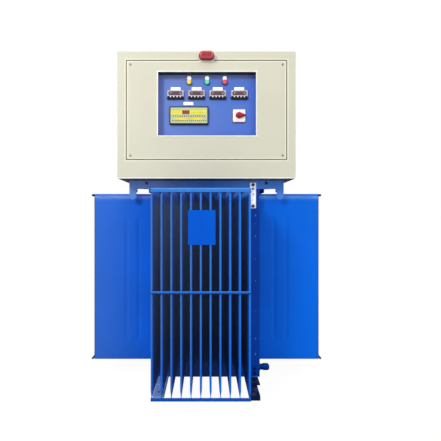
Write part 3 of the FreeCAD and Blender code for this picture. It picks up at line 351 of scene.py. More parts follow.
def painted_fin_light(finish):
    """Painted light on the fins: painted highlights on the free edges and on the pressed heads, a
    painted sheen towards the far left, a richer blue to the right, painted shade along the outer
    edges, then the painted light and shade in the gaps.
    """
    low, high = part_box("front_fins")
    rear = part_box("back_fins")[1].y
    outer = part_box("right_fins")[1].x
    across, depth, height = (finish.along(axis) for axis in "XYZ")
    inside = depth.step(low.y + 3 * MM, low.y + 9 * MM)
    inside = inside * (1 - depth.step(rear - 9 * MM, rear - 3 * MM))
    edge = (1 - inside) * (0.3 + height.step(0.1, 0.7) * 0.6)
    # painted highlight on the free edges, more towards the top
    finish.cover(edge, finish.mixed(across.step(-0.2, 0.15), (74, 124, 190), (44, 132, 238)))
    # painted highlight on the pressed heads, where the faces tilt up
    head = height.step(high.z - 46 * MM, high.z - 34 * MM) * finish.facing_up().step(0.01, 0.075)
    head = head * (1 - height.step(high.z - 15 * MM, high.z - 9 * MM) * 0.7)
    head_highlight = finish.mixed(across.step(-0.25, 0.1), (132, 168, 250), (126, 196, 255))
    finish.cover(head * 0.8, head_highlight)
    # painted sheen towards the far left
    finish.cover((1 - across.step(-0.72, -0.28)) * 0.3, (98, 126, 176))
    # the right fins painted a richer blue, without that sheen
    finish.cover(across.step(0.25, 0.5) * 0.35, (0, 122, 255))
    # painted shade along the outer edges of the side banks
    finish.cover(abs(across).step(outer - 7 * MM, outer - 3 * MM) * 0.7, (16, 66, 146))
    return painted_gap_light(finish)


def beam_painted_sheen(finish):
    """A painted sheen: the left wings are painted paler and greyer, most of all near their tops."""
    side = 1 - finish.along("X").step(-0.35, 0.05)
    high = finish.along("Z").step(1.11, 1.18)
    finish.cover(side * (0.2 + high * 0.32), (146, 166, 216))


def skid_painted_light(finish):
    """Painted light and shade: the left rail is painted pale as if lit and the right one dark as if
    in shade.
    """
    # painted light on the rails
    finish.cover(0.72, (152, 190, 246))
    # painted shade on the right rail
    finish.cover(finish.along("X").step(-0.2, 0.1), (15, 38, 84))


def around(finish, node):
    """How far a place is outside the rectangle of a node, seen from the front."""
    low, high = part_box(node)
    across = abs(finish.along("X") - (low.x + high.x) / 2) - (high.x - low.x) / 2
    up = abs(finish.along("Z") - (low.z + high.z) / 2) - (high.z - low.z) / 2
    return across.larger(up)


def cabinet_light(finish):
    """Light catches the folded edges at the covers' joints and along the foot of the cabinet."""
    joint = abs(around(finish, "front_cover") - 2 * MM)
    near = joint.step(4.0 * MM, 5.2 * MM)
    finish.cover(near * (1 - joint.step(8.5 * MM, 10 * MM)) * 0.9, (255, 254, 236))
    finish.cover((1 - near) * 0.5, (186, 184, 146))
    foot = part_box("cabinet_wrap")[0].z
    finish.cover((1 - finish.along("Z").step(foot + 5 * MM, foot + 9 * MM)) * 0.9, (255, 253, 240))


def tray_light(finish):
    """The panel is paler to the left, and the shade along its left edge and its top is grey."""
    low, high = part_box("instrument_panel")
    across = finish.along("X")
    finish.cover((1 - across.step(low.x + 60 * MM, high.x - 120 * MM)) * 0.2, (170, 186, 226))
    shade = (1 - across.step(low.x + 20 * MM, low.x + 46 * MM)) * 0.7
    shade = shade.larger(finish.along("Z").step(high.z - 60 * MM, high.z - 24 * MM) * 0.8)
    finish.cover(shade * 0.3, (176, 166, 186))


# the maker of each finish, its screen colour and the maker's other values in their order
PAINT = {
    "skid_paint": (enamel, (38, 74, 150), 0.4, 0.1, 0.3, None, skid_painted_light),
    "tank_paint": (enamel, (0, 74, 178), 0.36, 0.1, 0.3, None, painted_gap_light),
    "fin_paint": (enamel, (0, 106, 230), 0.36, 0.08, 0.1, None, painted_fin_light),
    "beam_paint": (enamel, (74, 142, 238), 0.4, 0.25, 0.2, None, beam_painted_sheen),
    "plain_steel": (bare_metal, (168, 168, 166)),
    "dark_steel": (bare_metal, (64, 66, 72), 0.42),
    "gear_steel": (bare_metal, (150, 152, 156), 0.26),
    "gasket_rubber": (moulded, (46, 40, 36), 0.8, 120.0, 0.3),
    # cast_fitting and gauge_glass glow a little: painted light that whitens the gauge
    "cast_fitting": (moulded, (252, 252, 254), 0.35, 200.0, 0.05, 0.35, 0.22),
    "gauge_glass": (moulded, (240, 242, 246), 0.12, 200.0, 0.01, 0.5, 0.18),
    # the darker colour in each powder coat row is painted shade on its undersides
    "cream_paint": (powder_coat, (224, 222, 201), 0.3, (84, 80, 74), cabinet_light),
    "panel_paint": (powder_coat, (88, 126, 216), 0.2, (52, 46, 56), tray_light),
    "housing_plastic": (moulded, (24, 22, 28), 0.5, 300.0, 0.06, 0.2),
    "meter_plastic": (moulded, (200, 184, 204)),
    "meter_window": (window_glass, (86, 66, 72), 0.16),
    "controller_plate": (moulded, (204, 214, 160), 0.32, 200.0, 0.02),
    # tag_plastic and switch_plate glow: painted light that whitens them, most of all the tags
    "tag_plastic": (moulded, (252, 252, 255), 0.35, 200.0, 0.02, 0.35, 0.5),
    "switch_plate": (moulded, (252, 246, 246), 0.3, 200.0, 0.02, 0.35, 0.12),
    "switch_handle": (moulded, (176, 20, 30), 0.26, 260.0, 0.03, 0.5),
    "yellow_lens": (lens_plastic, (255, 214, 76), (236, 170, 36), 0.0, 0.3),
    "green_lens": (lens_plastic, (112, 226, 180), (52, 172, 120), 0.0, 0.3),
    "red_lens": (lens_plastic, (230, 84, 100), (190, 44, 62), 0.0, 0.25),
    "beacon_red": (lens_plastic, (224, 84, 92), (176, 36, 46), 6 * MM, 0.1),
    "beacon_white": (moulded, (226, 218, 210), 0.4),
    "lamination": (bare_metal, (96, 90, 88), 0.5),
    "copper_winding": (wound_wire, (196, 112, 66), 3 * MM),
    "carbon": (moulded, (34, 34, 36), 0.5),
    "motor_paint": (enamel, (58, 62, 70), 0.45),
    "board": (moulded, (92, 56, 34), 0.35),
    "stud_brass": (bare_metal, (204, 168, 92), 0.3),
    # finishes of pieces that the imported model has no slot for
    # the window trim is paler than the cream and glows a little: a painted highlight
    "trim_highlight": (moulded, (255, 253, 242), 0.35, 160.0, 0.04, 0.35, 0.1),
    "band_yellow": (moulded, (248, 240, 62), 0.32, 200.0, 0.02),
    "band_red": (window_glass, (160, 62, 70), 0.15, 0.3),
    "mark_dark": (moulded, (88, 92, 60), 0.5, 200.0, 0.02),
    "mark_amber": (moulded, (204, 170, 40), 0.45, 200.0, 0.02),
    # the top bar: a paler copy of the fins' blue with a painted highlight on its top
    "top_bar_highlight_paint": (enamel, (48, 132, 228), 0.32, 0.2, 0.1, (168, 214, 255)),
    # the welds are paler than the tank: painted glints
    "weld_highlight_paint": (enamel, (70, 146, 234), 0.3, 0.3, 0.1),
    "screw_steel": (bare_metal, (146, 140, 112), 0.4),
    # the rods and lower bars: a darker copy of the fins' blue, painted shade, with a painted
    # highlight on faces that look up
    "rod_shade_and_highlight_paint": (enamel, (8, 84, 186), 0.4, 0.12, 0.1, (70, 140, 226)),
    "plate_paint": (enamel, (2, 96, 226), 0.4, 0.06, 0.1),
    # the meter window rims: pale and glowing, a painted highlight
    "rim_highlight": (moulded, (226, 220, 230), 0.3, 200.0, 0.02, 0.35, 0.1),
    # the meter keys glow a little: painted light
    "key_white": (moulded, (246, 244, 250), 0.3, 200.0, 0.02, 0.35, 0.12),
    # pale glowing dots on the meter windows: painted reflections
    "glint_pale": (moulded, (206, 190, 200), 0.3, 200.0, 0.02, 0.35, 0.06),
    "skirt_red": (moulded, (122, 44, 50), 0.35, 200.0, 0.03),
    "core_red": (lens_plastic, (176, 46, 52), (104, 18, 26), 8 * MM, 0.05),
    # very dark steel for the tubes in the bolt holes: painted shade
    "painted_shade_steel": (moulded, (20, 26, 44), 0.6, 300.0, 0.06, 0.1),
    # the drain's last colour is a painted highlight on faces that look up
    "drain_paint": (enamel, (0, 60, 150), 0.42, 0.06, 0.0, (20, 90, 184)),
    "mark_grey": (moulded, (120, 122, 128), 0.4, 200.0, 0.02),
    "dark_pad": (moulded, (96, 20, 56), 0.5),
    "rod_end_paint": (enamel, (8, 40, 104), 0.4, 0.1, 0.1),
    "seal_rubber": (moulded, (112, 108, 78), 0.7),
}
finishes = {}


def finish_for(slot):
    """The finish of a material slot, made when it is first wanted."""
    if slot not in finishes:
        maker, *values = PAINT[slot]
        finishes[slot] = maker(slot, *[screen(value) for value in values])
    return finishes[slot]


# ---- modelling
def at(place, x=None, y=None, z=None):
    """A place with some of its coordinates changed."""
    return Vector([old if new is None else new for old, new in zip(place, (x, y, z))])


def ends(low, high, axis="y"):
    """The middles of a box's two end faces along an axis."""
    return [at((low + high) / 2, **{axis: getattr(corner, axis)}) for corner in (low, high)]


def deselect():
    if bpy.context.object and bpy.context.object.mode != "OBJECT":
        bpy.ops.object.mode_set(mode="OBJECT")
    bpy.ops.object.select_all(action="DESELECT")


def focus(piece):
    deselect()
    piece.select_set(True)
    bpy.context.view_layer.objects.active = piece


def settle(piece):
    """Put the piece's place, turn and size into its mesh."""
    focus(piece)
    bpy.ops.object.transform_apply(location=True, rotation=True, scale=True)
    return piece


def block(name, low, high):
    low, high = Vector(low), Vector(high)
    deselect()
    bpy.ops.mesh.primitive_cube_add(size=1, location=(low + high) / 2, scale=high - low)
    piece = bpy.context.object
    piece.name = name
    return settle(piece)


def drum(name, start, end, radius, top_radius=None, sides=48):
    """A round bar or cone from one point to another."""
    start, end = Vector(start), Vector(end)
    turn = (end - start).to_track_quat("Z", "Y").to_euler()
    deselect()
    bpy.ops.mesh.primitive_cone_add(
        vertices=sides, radius1=radius, radius2=top_radius or radius,
        depth=(end - start).length, location=(start + end) / 2, rotation=turn)
    piece = bpy.context.object
    piece.name = name
    return settle(piece)


def pick(piece, kind, test):
    """In edit mode, select the corners, edges or faces whose middle and direction pass a test."""
    bpy.ops.mesh.select_all(action="DESELECT")
    modes = [kind == mode for mode in ("VERT", "EDGE", "FACE")]
    bpy.context.tool_settings.mesh_select_mode = modes
    mesh = bmesh.from_edit_mesh(piece.data)
    for element in {"VERT": mesh.verts, "EDGE": mesh.edges, "FACE": mesh.faces}[kind]:
        if kind == "FACE":
            chosen = test(element.calc_center_median(), element.normal)
        elif kind == "EDGE":
            first, last = (corner.co for corner in element.verts)
            chosen = test((first + last) / 2, (last - first).normalized())
        else:
            chosen = test(element.co, element.normal)
        element.select_set(chosen)
    mesh.select_flush_mode()
    bmesh.update_edit_mesh(piece.data)


def slice_at(planes):
    """In edit mode, cut the whole piece along planes, each given by a place and an axis."""
    for place, axis in planes:
        bpy.ops.mesh.select_all(action="SELECT")
        bpy.ops.mesh.bisect(plane_co=place, plane_no=axis)


def edit(piece):
    focus(piece)
    bpy.ops.object.mode_set(mode="EDIT")


def leave():
    bpy.ops.object.mode_set(mode="OBJECT")


def round_edges(piece, test, radius, segments=4):
    """Round the edges that pass a test."""
    edit(piece)
    pick(piece, "EDGE", test)
    bpy.ops.mesh.bevel(offset=radius, segments=segments, affect="EDGES")
    leave()
    return piece


def along(axis):
    """A test for edges that run along an axis."""
    return lambda middle, direction: abs(direction.dot(axis)) > 0.99


def flat_end(place, axis):
    """A test for the edges of the flat end at a place, across an axis."""
    return lambda middle, direction: abs((middle - place).dot(axis)) < 0.02 * MM


def slab(name, low, high, corner, segments=4):
    """A block whose outline, seen from the front, has rounded corners."""
    return round_edges(block(name, low, high), along(OUT), corner, segments)


def pill(name, low, high):
    """A bar along Y whose outline has round ends."""
    return slab(name, low, high, min(high[0] - low[0], high[2] - low[2]) / 2 * 0.995, 12)


def soften(piece, width, segments=2, angle=32):
    """Break sharp edges by a width in millimetres, drop faces without size and shade smooth."""
    focus(piece)
    bevel = piece.modifiers.new("edges", "BEVEL")
    bevel.width = width * MM
    bevel.segments = segments
    bevel.limit_method = "ANGLE"
    bevel.angle_limit = math.radians(angle)
    bpy.ops.object.modifier_apply(modifier=bevel.name)
    mend(piece, bpy.ops.mesh.dissolve_degenerate, threshold=SAME_POINT)
    return shade(piece, 38)


def mend(piece, operator, **settings):
    """Run an edit mode operator on the whole of a piece."""
    edit(piece)
    bpy.ops.mesh.select_all(action="SELECT")
    operator(**settings)
    leave()
    return piece


def shade(piece, angle):
    """Shade smooth where faces meet at less than an angle, and keep the large faces flat."""
    focus(piece)
    bpy.ops.object.shade_smooth_by_angle(angle=math.radians(angle))
    normals = piece.modifiers.new("normals", "WEIGHTED_NORMAL")
    normals.keep_sharp = True
    bpy.ops.object.modifier_apply(modifier=normals.name)
    return piece


def cut_away(piece, cutter):
    """Take the cutter's shape out of the piece."""
    focus(piece)
    boolean = piece.modifiers.new("cut", "BOOLEAN")
    boolean.operation = "DIFFERENCE"
    boolean.solver = "EXACT"
    boolean.object = cutter
    bpy.ops.object.modifier_apply(modifier=boolean.name)
    bpy.data.objects.remove(cutter)
    return piece


def joined(name, pieces):
    deselect()
    for piece in pieces:
        piece.select_set(True)
    bpy.context.view_layer.objects.active = pieces[0]
    if len(pieces) > 1:
        bpy.ops.object.join()
    pieces[0].name = name
    return pieces[0]


def copy_at(piece, shift=(0, 0, 0), turn=0.0):
    """A copy with its own mesh, turned about Z through the origin and then shifted."""
    twin = piece.copy()
    twin.data = piece.data.copy()
    bpy.context.scene.collection.objects.link(twin)
    twin.data.transform(Matrix.Translation(Vector(shift)) @ Matrix.Rotation(turn, 4, "Z"))
    return twin


def dress(piece, slot, body="stabiliser", finish=None):
    """Give a finished piece its slot, its body and the slot's finish or one of its own."""
    piece.data.materials.clear()
    piece.data.materials.append(finish_for(finish or slot))
    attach(piece, body)


def stand_in(node, *pieces, finish=None, name=None):
    """Let the pieces, joined, stand for a CAD node in the node's slot and body."""
    piece = joined(name or node + "_finished", pieces)
    dress(piece, slot_of_node[node], body_of_node[node], finish)
    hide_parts(node)


def refined(node, width, finish=None):
    """A CAD node's own shape with its edges broken."""
    twin = nodes[node].copy()
    twin.data = nodes[node].data.copy()
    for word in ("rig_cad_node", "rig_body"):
        del twin[word]
    twin.parent = None
    twin.matrix_world = Matrix.Identity(4)
    bpy.context.scene.collection.objects.link(twin)
    edit(twin)
    bpy.ops.mesh.select_all(action="SELECT")
    bpy.ops.mesh.remove_doubles(threshold=0.005 * MM)
    bpy.ops.mesh.dissolve_limited(angle_limit=math.radians(0.5))
    leave()
    stand_in(node, soften(twin, width), finish=finish)


# ---- stage
# name, place, target, size, power
LAMPS = (
    ("key", (-2.3, -3.9, 3.3), (0, -0.4, 1.0), 1.1, 88),
    ("fill", (2.6, -4.2, 1.4), (0, -0.4, 0.8), 3.0, 32),
    ("top", (0.0, -0.6, 4.4), (0, 0, 1.0), 3.0, 26),
    ("rear", (1.6, 4.0, 2.6), (0, 0.2, 1.0), 2.6, 70),
)


def studio():
    """A white floor and world, and soft lamps."""
    deselect()
    bpy.ops.mesh.primitive_plane_add(size=60, location=(0, 20, 0))
    floor = bpy.context.object
    floor.name = "floor"
    finish = Finish("pale floor", Base_Color=(0.6, 0.6, 0.6, 1), Roughness=0.9,
                    Specular_IOR_Level=0.1)
    plain = finish.make("ShaderNodeEmission", inputs={"Color": (1, 1, 1, 1), "Strength": 1.14})
    surface = Wire(finish, finish.surface.outputs[0])
    share = {0: finish.ray("Camera") * 0.84, 1: surface, 2: plain}
    mixed = finish.make("ShaderNodeMixShader", inputs=share)
    finish.tree.links.new(mixed.socket, finish.tree.nodes["Material Output"].inputs["Surface"])
    floor.data.materials.append(finish.material)

    world = bpy.data.worlds.new("studio")
    bpy.context.scene.world = world
    sky = Graph(world)
    background = sky.tree.nodes["Background"].inputs
    background["Color"].default_value = (1, 1, 1, 1)
    direct = sky.ray("Camera").larger(sky.ray("Glossy").larger(sky.ray("Transmission")))
    sky.tree.links.new((direct * 0.5 + 0.5).socket, background["Strength"])

    for name, place, target, size, power in LAMPS:
        light = bpy.data.lights.new(name, "AREA")
        light.shape = "SQUARE"
        light.size = size
        light.energy = power
        holder = bpy.data.objects.new(name, light)
        bpy.context.scene.collection.objects.link(holder)
        holder.location = place
        holder.rotation_euler = (Vector(target) - Vector(place)).to_track_quat("-Z", "Y").to_euler()


def camera():
    view = bpy.data.cameras.new("camera")
    view.lens = 25.3
    view.sensor_width = 36.0
    view.shift_x = 0.0317
    view.shift_y = -0.0136
    view.clip_end = 100
    holder = bpy.data.objects.new("camera", view)
    bpy.context.scene.collection.objects.link(holder)
    holder.location = (0, -2.25, 1.009)
    holder.rotation_euler = (math.radians(90), 0, 0)
    bpy.context.scene.camera = holder


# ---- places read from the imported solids
def solids(node):
    """The box of each solid of a node, from left to right and front to back."""
    mesh = bmesh.new()
    mesh.from_mesh(nodes[node].data)
    bmesh.ops.remove_doubles(mesh, verts=mesh.verts, dist=SAME_POINT)
    waiting = set(mesh.verts)
    boxes = []
    while waiting:
        found = [waiting.pop()]
        for corner in found:
            for edge in corner.link_edges:
                other = edge.other_vert(corner)
                if other in waiting:
                    waiting.remove(other)
                    found.append(other)
        places = [corner.co for corner in found]
        low = Vector([min(place[axis] for place in places) for axis in range(3)])
        high = Vector([max(place[axis] for place in places) for axis in range(3)])
        boxes.append((low, high))
    mesh.free()
    return sorted(boxes, key=lambda box: (round(box[0].x, 4), round(box[0].y, 4), box[0].z))


def spread(first, last, count):
    return [first + (last - first) * number / (count - 1) for number in range(count)]


# ---- cooling fins
FIN_THICKNESS = 10 * MM
FIN_SEAM = 3 * MM
FIN_TAPER = 33 * MM
FLUTES = (96 * MM, 172 * MM)    # from the tank wall
FLUTE_WIDTH = 40 * MM
FLUTE_DEPTH = 4 * MM
FLUTE_FOOT = 112 * MM
FLUTE_HEAD = 130 * MM
FLUTE_END = 40 * MM             # length over which a flute runs out
FLUTE_STEPS = 4
FIN_LAP = 6 * MM                # flat seam at the foot and the head
CREASE_LENGTH = 170 * MM        # of the fold drawn into each side under the head
ROD_RADIUS = 6.5 * MM
ROD_CAP_RADIUS = 6.8 * MM
TOP_BAR_ROUNDING = 5 * MM


def fin(depth, foot, head):
    """A box fin pressed from folded sheet: root at y 0, free edge at -depth, ends pressed flat."""
    half = FIN_THICKNESS / 2
    piece = block("fin", (-half, -depth, foot), (half, 0, head))
    round_edges(piece, lambda place, way: abs(way.z) > 0.9 and place.y < -depth / 2, half * 0.9)
    steps = spread(0, 1, FLUTE_STEPS + 1)
    levels = [foot + FIN_TAPER, head - FIN_TAPER, foot + FIN_LAP, head - FIN_LAP]
    levels += [foot + FLUTE_FOOT + FLUTE_END * step for step in steps]
    levels += [head - FLUTE_HEAD - FLUTE_END * step for step in steps]
    sides = {-distance + side * FLUTE_WIDTH / 2 * step
             for distance in FLUTES for side in (-1, 1) for step in steps}
    edit(piece)
    slice_at([(UP * level, UP) for level in levels])
    slice_at([(-OUT * side, -OUT) for side in sorted(sides)])
    lap = FIN_LAP * 1.1
    pick(piece, "VERT", lambda place, way: not foot + lap <= place.z <= head - lap)
    bpy.ops.transform.resize(value=(FIN_SEAM / FIN_THICKNESS, 1, 1), center_override=(0, 0, 0))

    def pressed(place):
        """How far a place on the side is pressed in, 0 to 1, to three places."""
        across = 1 - min(abs(place.y + distance) for distance in FLUTES) / (FLUTE_WIDTH / 2)
        lengthwise = min(place.z - foot - FLUTE_FOOT, head - FLUTE_HEAD - place.z) / FLUTE_END
        shares = [min(max(share, 0.0), 1.0) for share in (across, lengthwise)]
        return round(math.prod(share * share * (3 - 2 * share) for share in shares), 3)

    mesh = bmesh.from_edit_mesh(piece.data)
    for level in sorted({pressed(corner.co) for corner in mesh.verts} - {0.0}):
        pick(piece, "VERT", lambda place, way: abs(pressed(place) - level) < 0.0005)
        share = 1 - level * FLUTE_DEPTH / half
        bpy.ops.transform.resize(value=(share, 1, 1), center_override=(0, 0, 0))
    leave()
    soften(piece, 1.2, 2, 40)
    creases = []
    for side in (-1, 1):
        front_end = (side * 1.6 * MM, -depth + 12 * MM, head - 7 * MM)
        rear_end = (side * 4.4 * MM, -depth + CREASE_LENGTH, head - FIN_TAPER)
        creases.append(drum("crease", front_end, rear_end, 1.6 * MM, 1.0 * MM, 12))
        bpy.ops.object.shade_smooth_by_angle(angle=math.radians(50))
    return joined("fin", [piece] + creases)


def bead(place, size):
    """A drop of weld; its three half sizes are in millimetres."""
    deselect()
    bpy.ops.mesh.primitive_uv_sphere_add(segments=10, ring_count=6, radius=1, location=place,
                                         scale=Vector(size) * MM)
    drop = settle(bpy.context.object)
    bpy.ops.object.shade_smooth()
    return drop


def fin_banks():
    """The four banks of fins in place of their CAD nodes."""
    for node, _, out, wall, turn in FIN_BANKS:
        low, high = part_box(node)
        master = fin(high[out] - low[out], low.z, high.z)
        row = [copy_at(master, at(ends(*box, "xyz"[out])[wall], z=0), turn) for box in solids(node)]
        bpy.data.objects.remove(master)
        stand_in(node, *row)


def tie_bars():
    """Bars and rods over the free edges of the fins, with a drop of weld at every fin."""
    pieces, top_bars, drops, caps = [], [], [], []
    for low, high in solids("fin_tie_bars"):
        size, middle = high - low, (low + high) / 2
        run = 0 if size.x > size.y else 1       # the axis along the bar
        out = Vector((0, 0, 0))
        out[1 - run] = math.copysign(1.0, middle[1 - run])
        node = (("front_fins", "back_fins"), ("left_fins", "right_fins"))[run][middle[1 - run] > 0]
        fins = [(near + far)[run] / 2 for near, far in solids(node)]

        def weld(spot, drop, shift=0.0):
            for place in fins:
                spot[run] = place + shift
                drops.append(bead(spot, drop))

        if abs(size[1 - run] - size.z) < 1 * MM:
            start, end = middle.copy(), middle.copy()
            start[run], end[run] = low[run], high[run]
            rod = drum("rod", start, end, ROD_RADIUS, sides=20)
            near_end = size[run] / 2 - 0.1 * MM
            round_edges(rod, lambda place, way: abs(place[run] - middle[run]) > near_end,
                        ROD_RADIUS * 0.7)
            pieces.append(soften(rod, 0.3, 1, 60))
            for tip, inward in ((start, -OUT), (end, OUT)) if run == 1 else ():
                cap_end = tip - inward * 0.3 * MM
                cap = drum("rod_cap", tip + inward * 7 * MM, cap_end, ROD_CAP_RADIUS, sides=24)
                caps.append(round_edges(cap, flat_end(cap_end, OUT), 4 * MM, 5))
            weld(middle - out * ROD_RADIUS * 0.35 + UP * ROD_RADIUS * 0.92, (4.6, 4.2, 2.6))
        elif middle.z > 0.6:
            bar = block("bar", low, high)
            round_edges(bar, lambda place, way: place.z > high.z - 0.1 * MM and abs(way[run]) > 0.9,
                        TOP_BAR_ROUNDING)
            top_bars.append(soften(bar, 1.0))
            weld(middle - out * size[1 - run] * 0.3 - UP * size.z * 0.5, (6.5, 3.0, 3.2), 2.5 * MM)
        else:
            pieces.append(soften(block("bar", low, high), 1.2))
            weld(middle + UP * size.z * 0.5, (5.0, 2.4, 2.4))
    stand_in("fin_tie_bars", *pieces, *drops, finish="rod_shade_and_highlight_paint")
    dress(joined("fin_top_bars", top_bars), "fin_paint", finish="top_bar_highlight_paint")
    dress(soften(joined("rod_caps", caps), 0.3, 1, 50), "fin_paint", finish="rod_end_paint")


# ---- tank fittings
GLASS_ROOM = 2.2 * MM           # beside the sight tube in its slot
OIL_LEVEL = 0.62                # of the height of the glass
PIPE_RADIUS = 16.8 * MM
THREAD_PITCH = 2.5 * MM
CAP_ROUNDING = 15 * MM
CAP_RIBS = 24
ANCHOR_INSET = 42 * MM          # end of a rail to its floor bolt hole
ANCHOR_HOLE = 7.5 * MM          # radius
RAIL_PLATE = 5 * MM
# height in metres and size in millimetres of the drops on the corner of the tank
CORNER_DROPS = ((1.003, 5.0), (0.953, 2.6), (0.878, 4.4), (0.742, 2.4),
                (0.610, 2.8), (0.430, 2.2), (0.262, 4.6), (0.170, 5.2))


def oil_gauge():
    """A cast body with a sight tube in its slot, ferrules, a float, a row of marks and washers."""
    low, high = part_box("oil_gauge_body")
    inside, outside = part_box("oil_gauge_glass")
    body = slab("body", low, high, 4 * MM)
    cut_away(body, pill("slot", at(inside, y=low.y - 2 * MM), outside))
    stand_in("oil_gauge_body", soften(body, 1.4, 3))

    radius = (outside.x - inside.x) / 2 - GLASS_ROOM
    line = Vector(((inside.x + outside.x) / 2, inside.y + radius, 0))

    def sleeve(name, bottom, top, wall=0.0, sides=48):
        return drum(name, line + UP * bottom, line + UP * top, radius + wall, sides=sides)

    tube = sleeve("sight_tube", inside.z + 4 * MM, outside.z - 4 * MM, sides=24)
    stand_in("oil_gauge_glass", soften(tube, 0.5), name="sight_tube")
    lower, upper = (sleeve("ferrule", place - 5 * MM, place + 5 * MM, 1.2 * MM)
                    for place in (inside.z + 8 * MM, outside.z - 8 * MM))
    dress(soften(lower, 0.3), "cast_fitting")
    level = inside.z + OIL_LEVEL * (outside.z - inside.z)
    ferrules = [upper, sleeve("float", level - 4 * MM, level, 0.5 * MM)]
    marks = []
    for number, height in enumerate(spread(inside.z + 20 * MM, outside.z - 20 * MM, 11)):
        length = 7 * MM if number % 5 == 0 else 4 * MM
        corner = Vector((line.x - length / 2, inside.y - 0.4 * MM, height - 1.1 * MM))
        marks.append(block("mark", corner, corner + Vector((length, 1.4 * MM, 2.2 * MM))))
    dress(soften(joined("gauge_ferrules", ferrules), 0.3), "dark_steel")
    dress(soften(joined("gauge_marks", marks), 0.2, 1), "dark_steel", finish="mark_grey")
    rings = washers("oil_gauge_bolts", "gauge_washers", 10.5 * MM, 1.2 * MM)
    dress(soften(rings, 0.3), "plain_steel")


def washers(node, name, radius, thickness):
    """A washer under the head of each bolt of a node on the front of the tank."""
    rings = []
    for low, high in solids(node):
        back = ends(low, high)[1]
        rings.append(drum("washer", back, back + OUT * thickness, radius, sides=32))
    return joined(name, rings)


def drain():
    """A weld collar, a threaded pipe and a domed cap."""
    low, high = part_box("drain_pipe")
    cap_low, cap_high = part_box("drain_cap")
    middle = (low + high) / 2
    wall = at(middle, x=low.x)
    collar_end = wall + RIGHT * 9 * MM
    collar_radius = (high.z - low.z) / 2
    pieces = [drum("collar", wall, collar_end, collar_radius, collar_radius - 3 * MM),
              drum("pipe", wall, at(middle, x=high.x), PIPE_RADIUS)]
    for number in range(6):
        start = collar_end + RIGHT * (2 * MM + THREAD_PITCH * number)
        pieces.append(drum("thread", start, start + RIGHT * MM, PIPE_RADIUS + 0.6 * MM))
    stand_in("drain_pipe", soften(joined("pipe", pieces), 0.6), finish="drain_paint")

    start, end = at(middle, x=cap_low.x), at(middle, x=cap_high.x)
    cap = drum("cap", start, end, (cap_high.z - cap_low.z) / 2)
    round_edges(cap, flat_end(end, RIGHT), CAP_ROUNDING, 8)
    cut_away(cap, drum("bore", start - RIGHT * MM, start + RIGHT * 24 * MM, PIPE_RADIUS + 0.7 * MM))
    stand_in("drain_cap", soften(cap, 0.8), finish="drain_paint")


def earth_bolts():
    rings = washers("earth_bolts", "earth_washers", 9.2 * MM, 2.2 * MM)
    dress(soften(rings, 0.4), "plain_steel", finish="drain_paint")


def hole_shade_tubes():
    """Dark tubes below the floor bolt holes, bored through: painted shade that makes the holes look
    dark inside.
    """
    tubes = []
    for low, high in solids("skid_rails"):
        for y in (low.y + ANCHOR_INSET, high.y - ANCHOR_INSET):
            foot = Vector(((low.x + high.x) / 2, y, low.z + 0.3 * MM))
            head = at(foot, z=high.z - RAIL_PLATE - 0.2 * MM)
            tube = drum("shade_tube", foot, head, 11 * MM)
            bore = drum("bore", foot - UP * MM, head + UP * MM, ANCHOR_HOLE + 0.1 * MM)
            tubes.append(cut_away(tube, bore))
    dress(soften(joined("hole_shade_tubes", tubes), 0.3, 1, 50), "dark_steel", finish="painted_shade_steel")


def tank_welds():
    """Drops of weld down the right front corner of the tank and round the foot pads, painted paler
    than the tank: painted glints.
    """
    low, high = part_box("tank_shell")
    drops = [bead((high.x - 26 * MM, -high.y, height), (size, 2.2, size * 1.3))
             for height, size in CORNER_DROPS]
    for pad_low, pad_high in solids("foot_pads"):
        edge = math.copysign(high.y, pad_low.y)
        for x in spread(pad_low.x + 6 * MM, pad_high.x - 6 * MM, 9):
            drops.append(bead((x, edge, low.z + 1.5 * MM), (5.6, 3.4, 3.0)))
    dress(joined("tank_welds", drops), "tank_paint", finish="weld_highlight_paint")


def filler_cap():
    """A screw cap with grip ribs round it."""
    low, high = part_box("filler_cap")
    foot, head = ends(low, high, "z")
    cap = drum("cap", foot, head, 29.5 * MM)
    round_edges(cap, flat_end(head, UP), 3 * MM, 4)
    cut_away(cap, drum("hollow", foot - UP * MM, foot + UP * 20 * MM, 24.6 * MM))
    soften(cap, 0.5)
    side = foot + RIGHT * 29 * MM
    rib = soften(drum("rib", side + UP * 2 * MM, side + UP * 20 * MM, 1.6 * MM, sides=10), 0.3, 1)
    ribs = []
    for number in range(CAP_RIBS):
        turn = Matrix.Rotation(number * 2 * math.pi / CAP_RIBS, 4, "Z")
        ribs.append(copy_at(rib))
        ribs[-1].data.transform(Matrix.Translation(foot) @ turn @ Matrix.Translation(-foot))
    bpy.data.objects.remove(rib)
    stand_in("filler_cap", cap, *ribs)


# ---- cabinet
COVER_GAP = 4 * MM              # of the joint round a cover
WINDOW_INSET = 18 * MM          # edge of the panel to the window
TRIM_BORDER = 6.6 * MM
TRIM_HEIGHT = 3.1 * MM


def picture_frame(name, low, high, border):
    """A flat frame in the plane of the panel, with its opening cut through."""
    piece = block(name, low, high)
    room = Vector((border, -5 * MM, border))
    return cut_away(piece, block("opening", Vector(low) + room, Vector(high) - room))


def cover_seals():
    """Dark seals on the seats behind the joints round the two covers."""
    low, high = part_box("front_cover")
    seals = []
    front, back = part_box("cabinet_front_frame")[0].y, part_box("cabinet_back_frame")[1].y
    for face, way in ((front, 1), (back, -1)):
        near, far = sorted((face + way * 1.5 * MM, face + way * 2.5 * MM))
        seals.append(picture_frame("seal", (low.x - COVER_GAP, near, low.z - COVER_GAP),
                                   (high.x + COVER_GAP, far, high.z + COVER_GAP), COVER_GAP))
    dress(joined("cover_seals", seals), "housing_plastic", finish="seal_rubber")


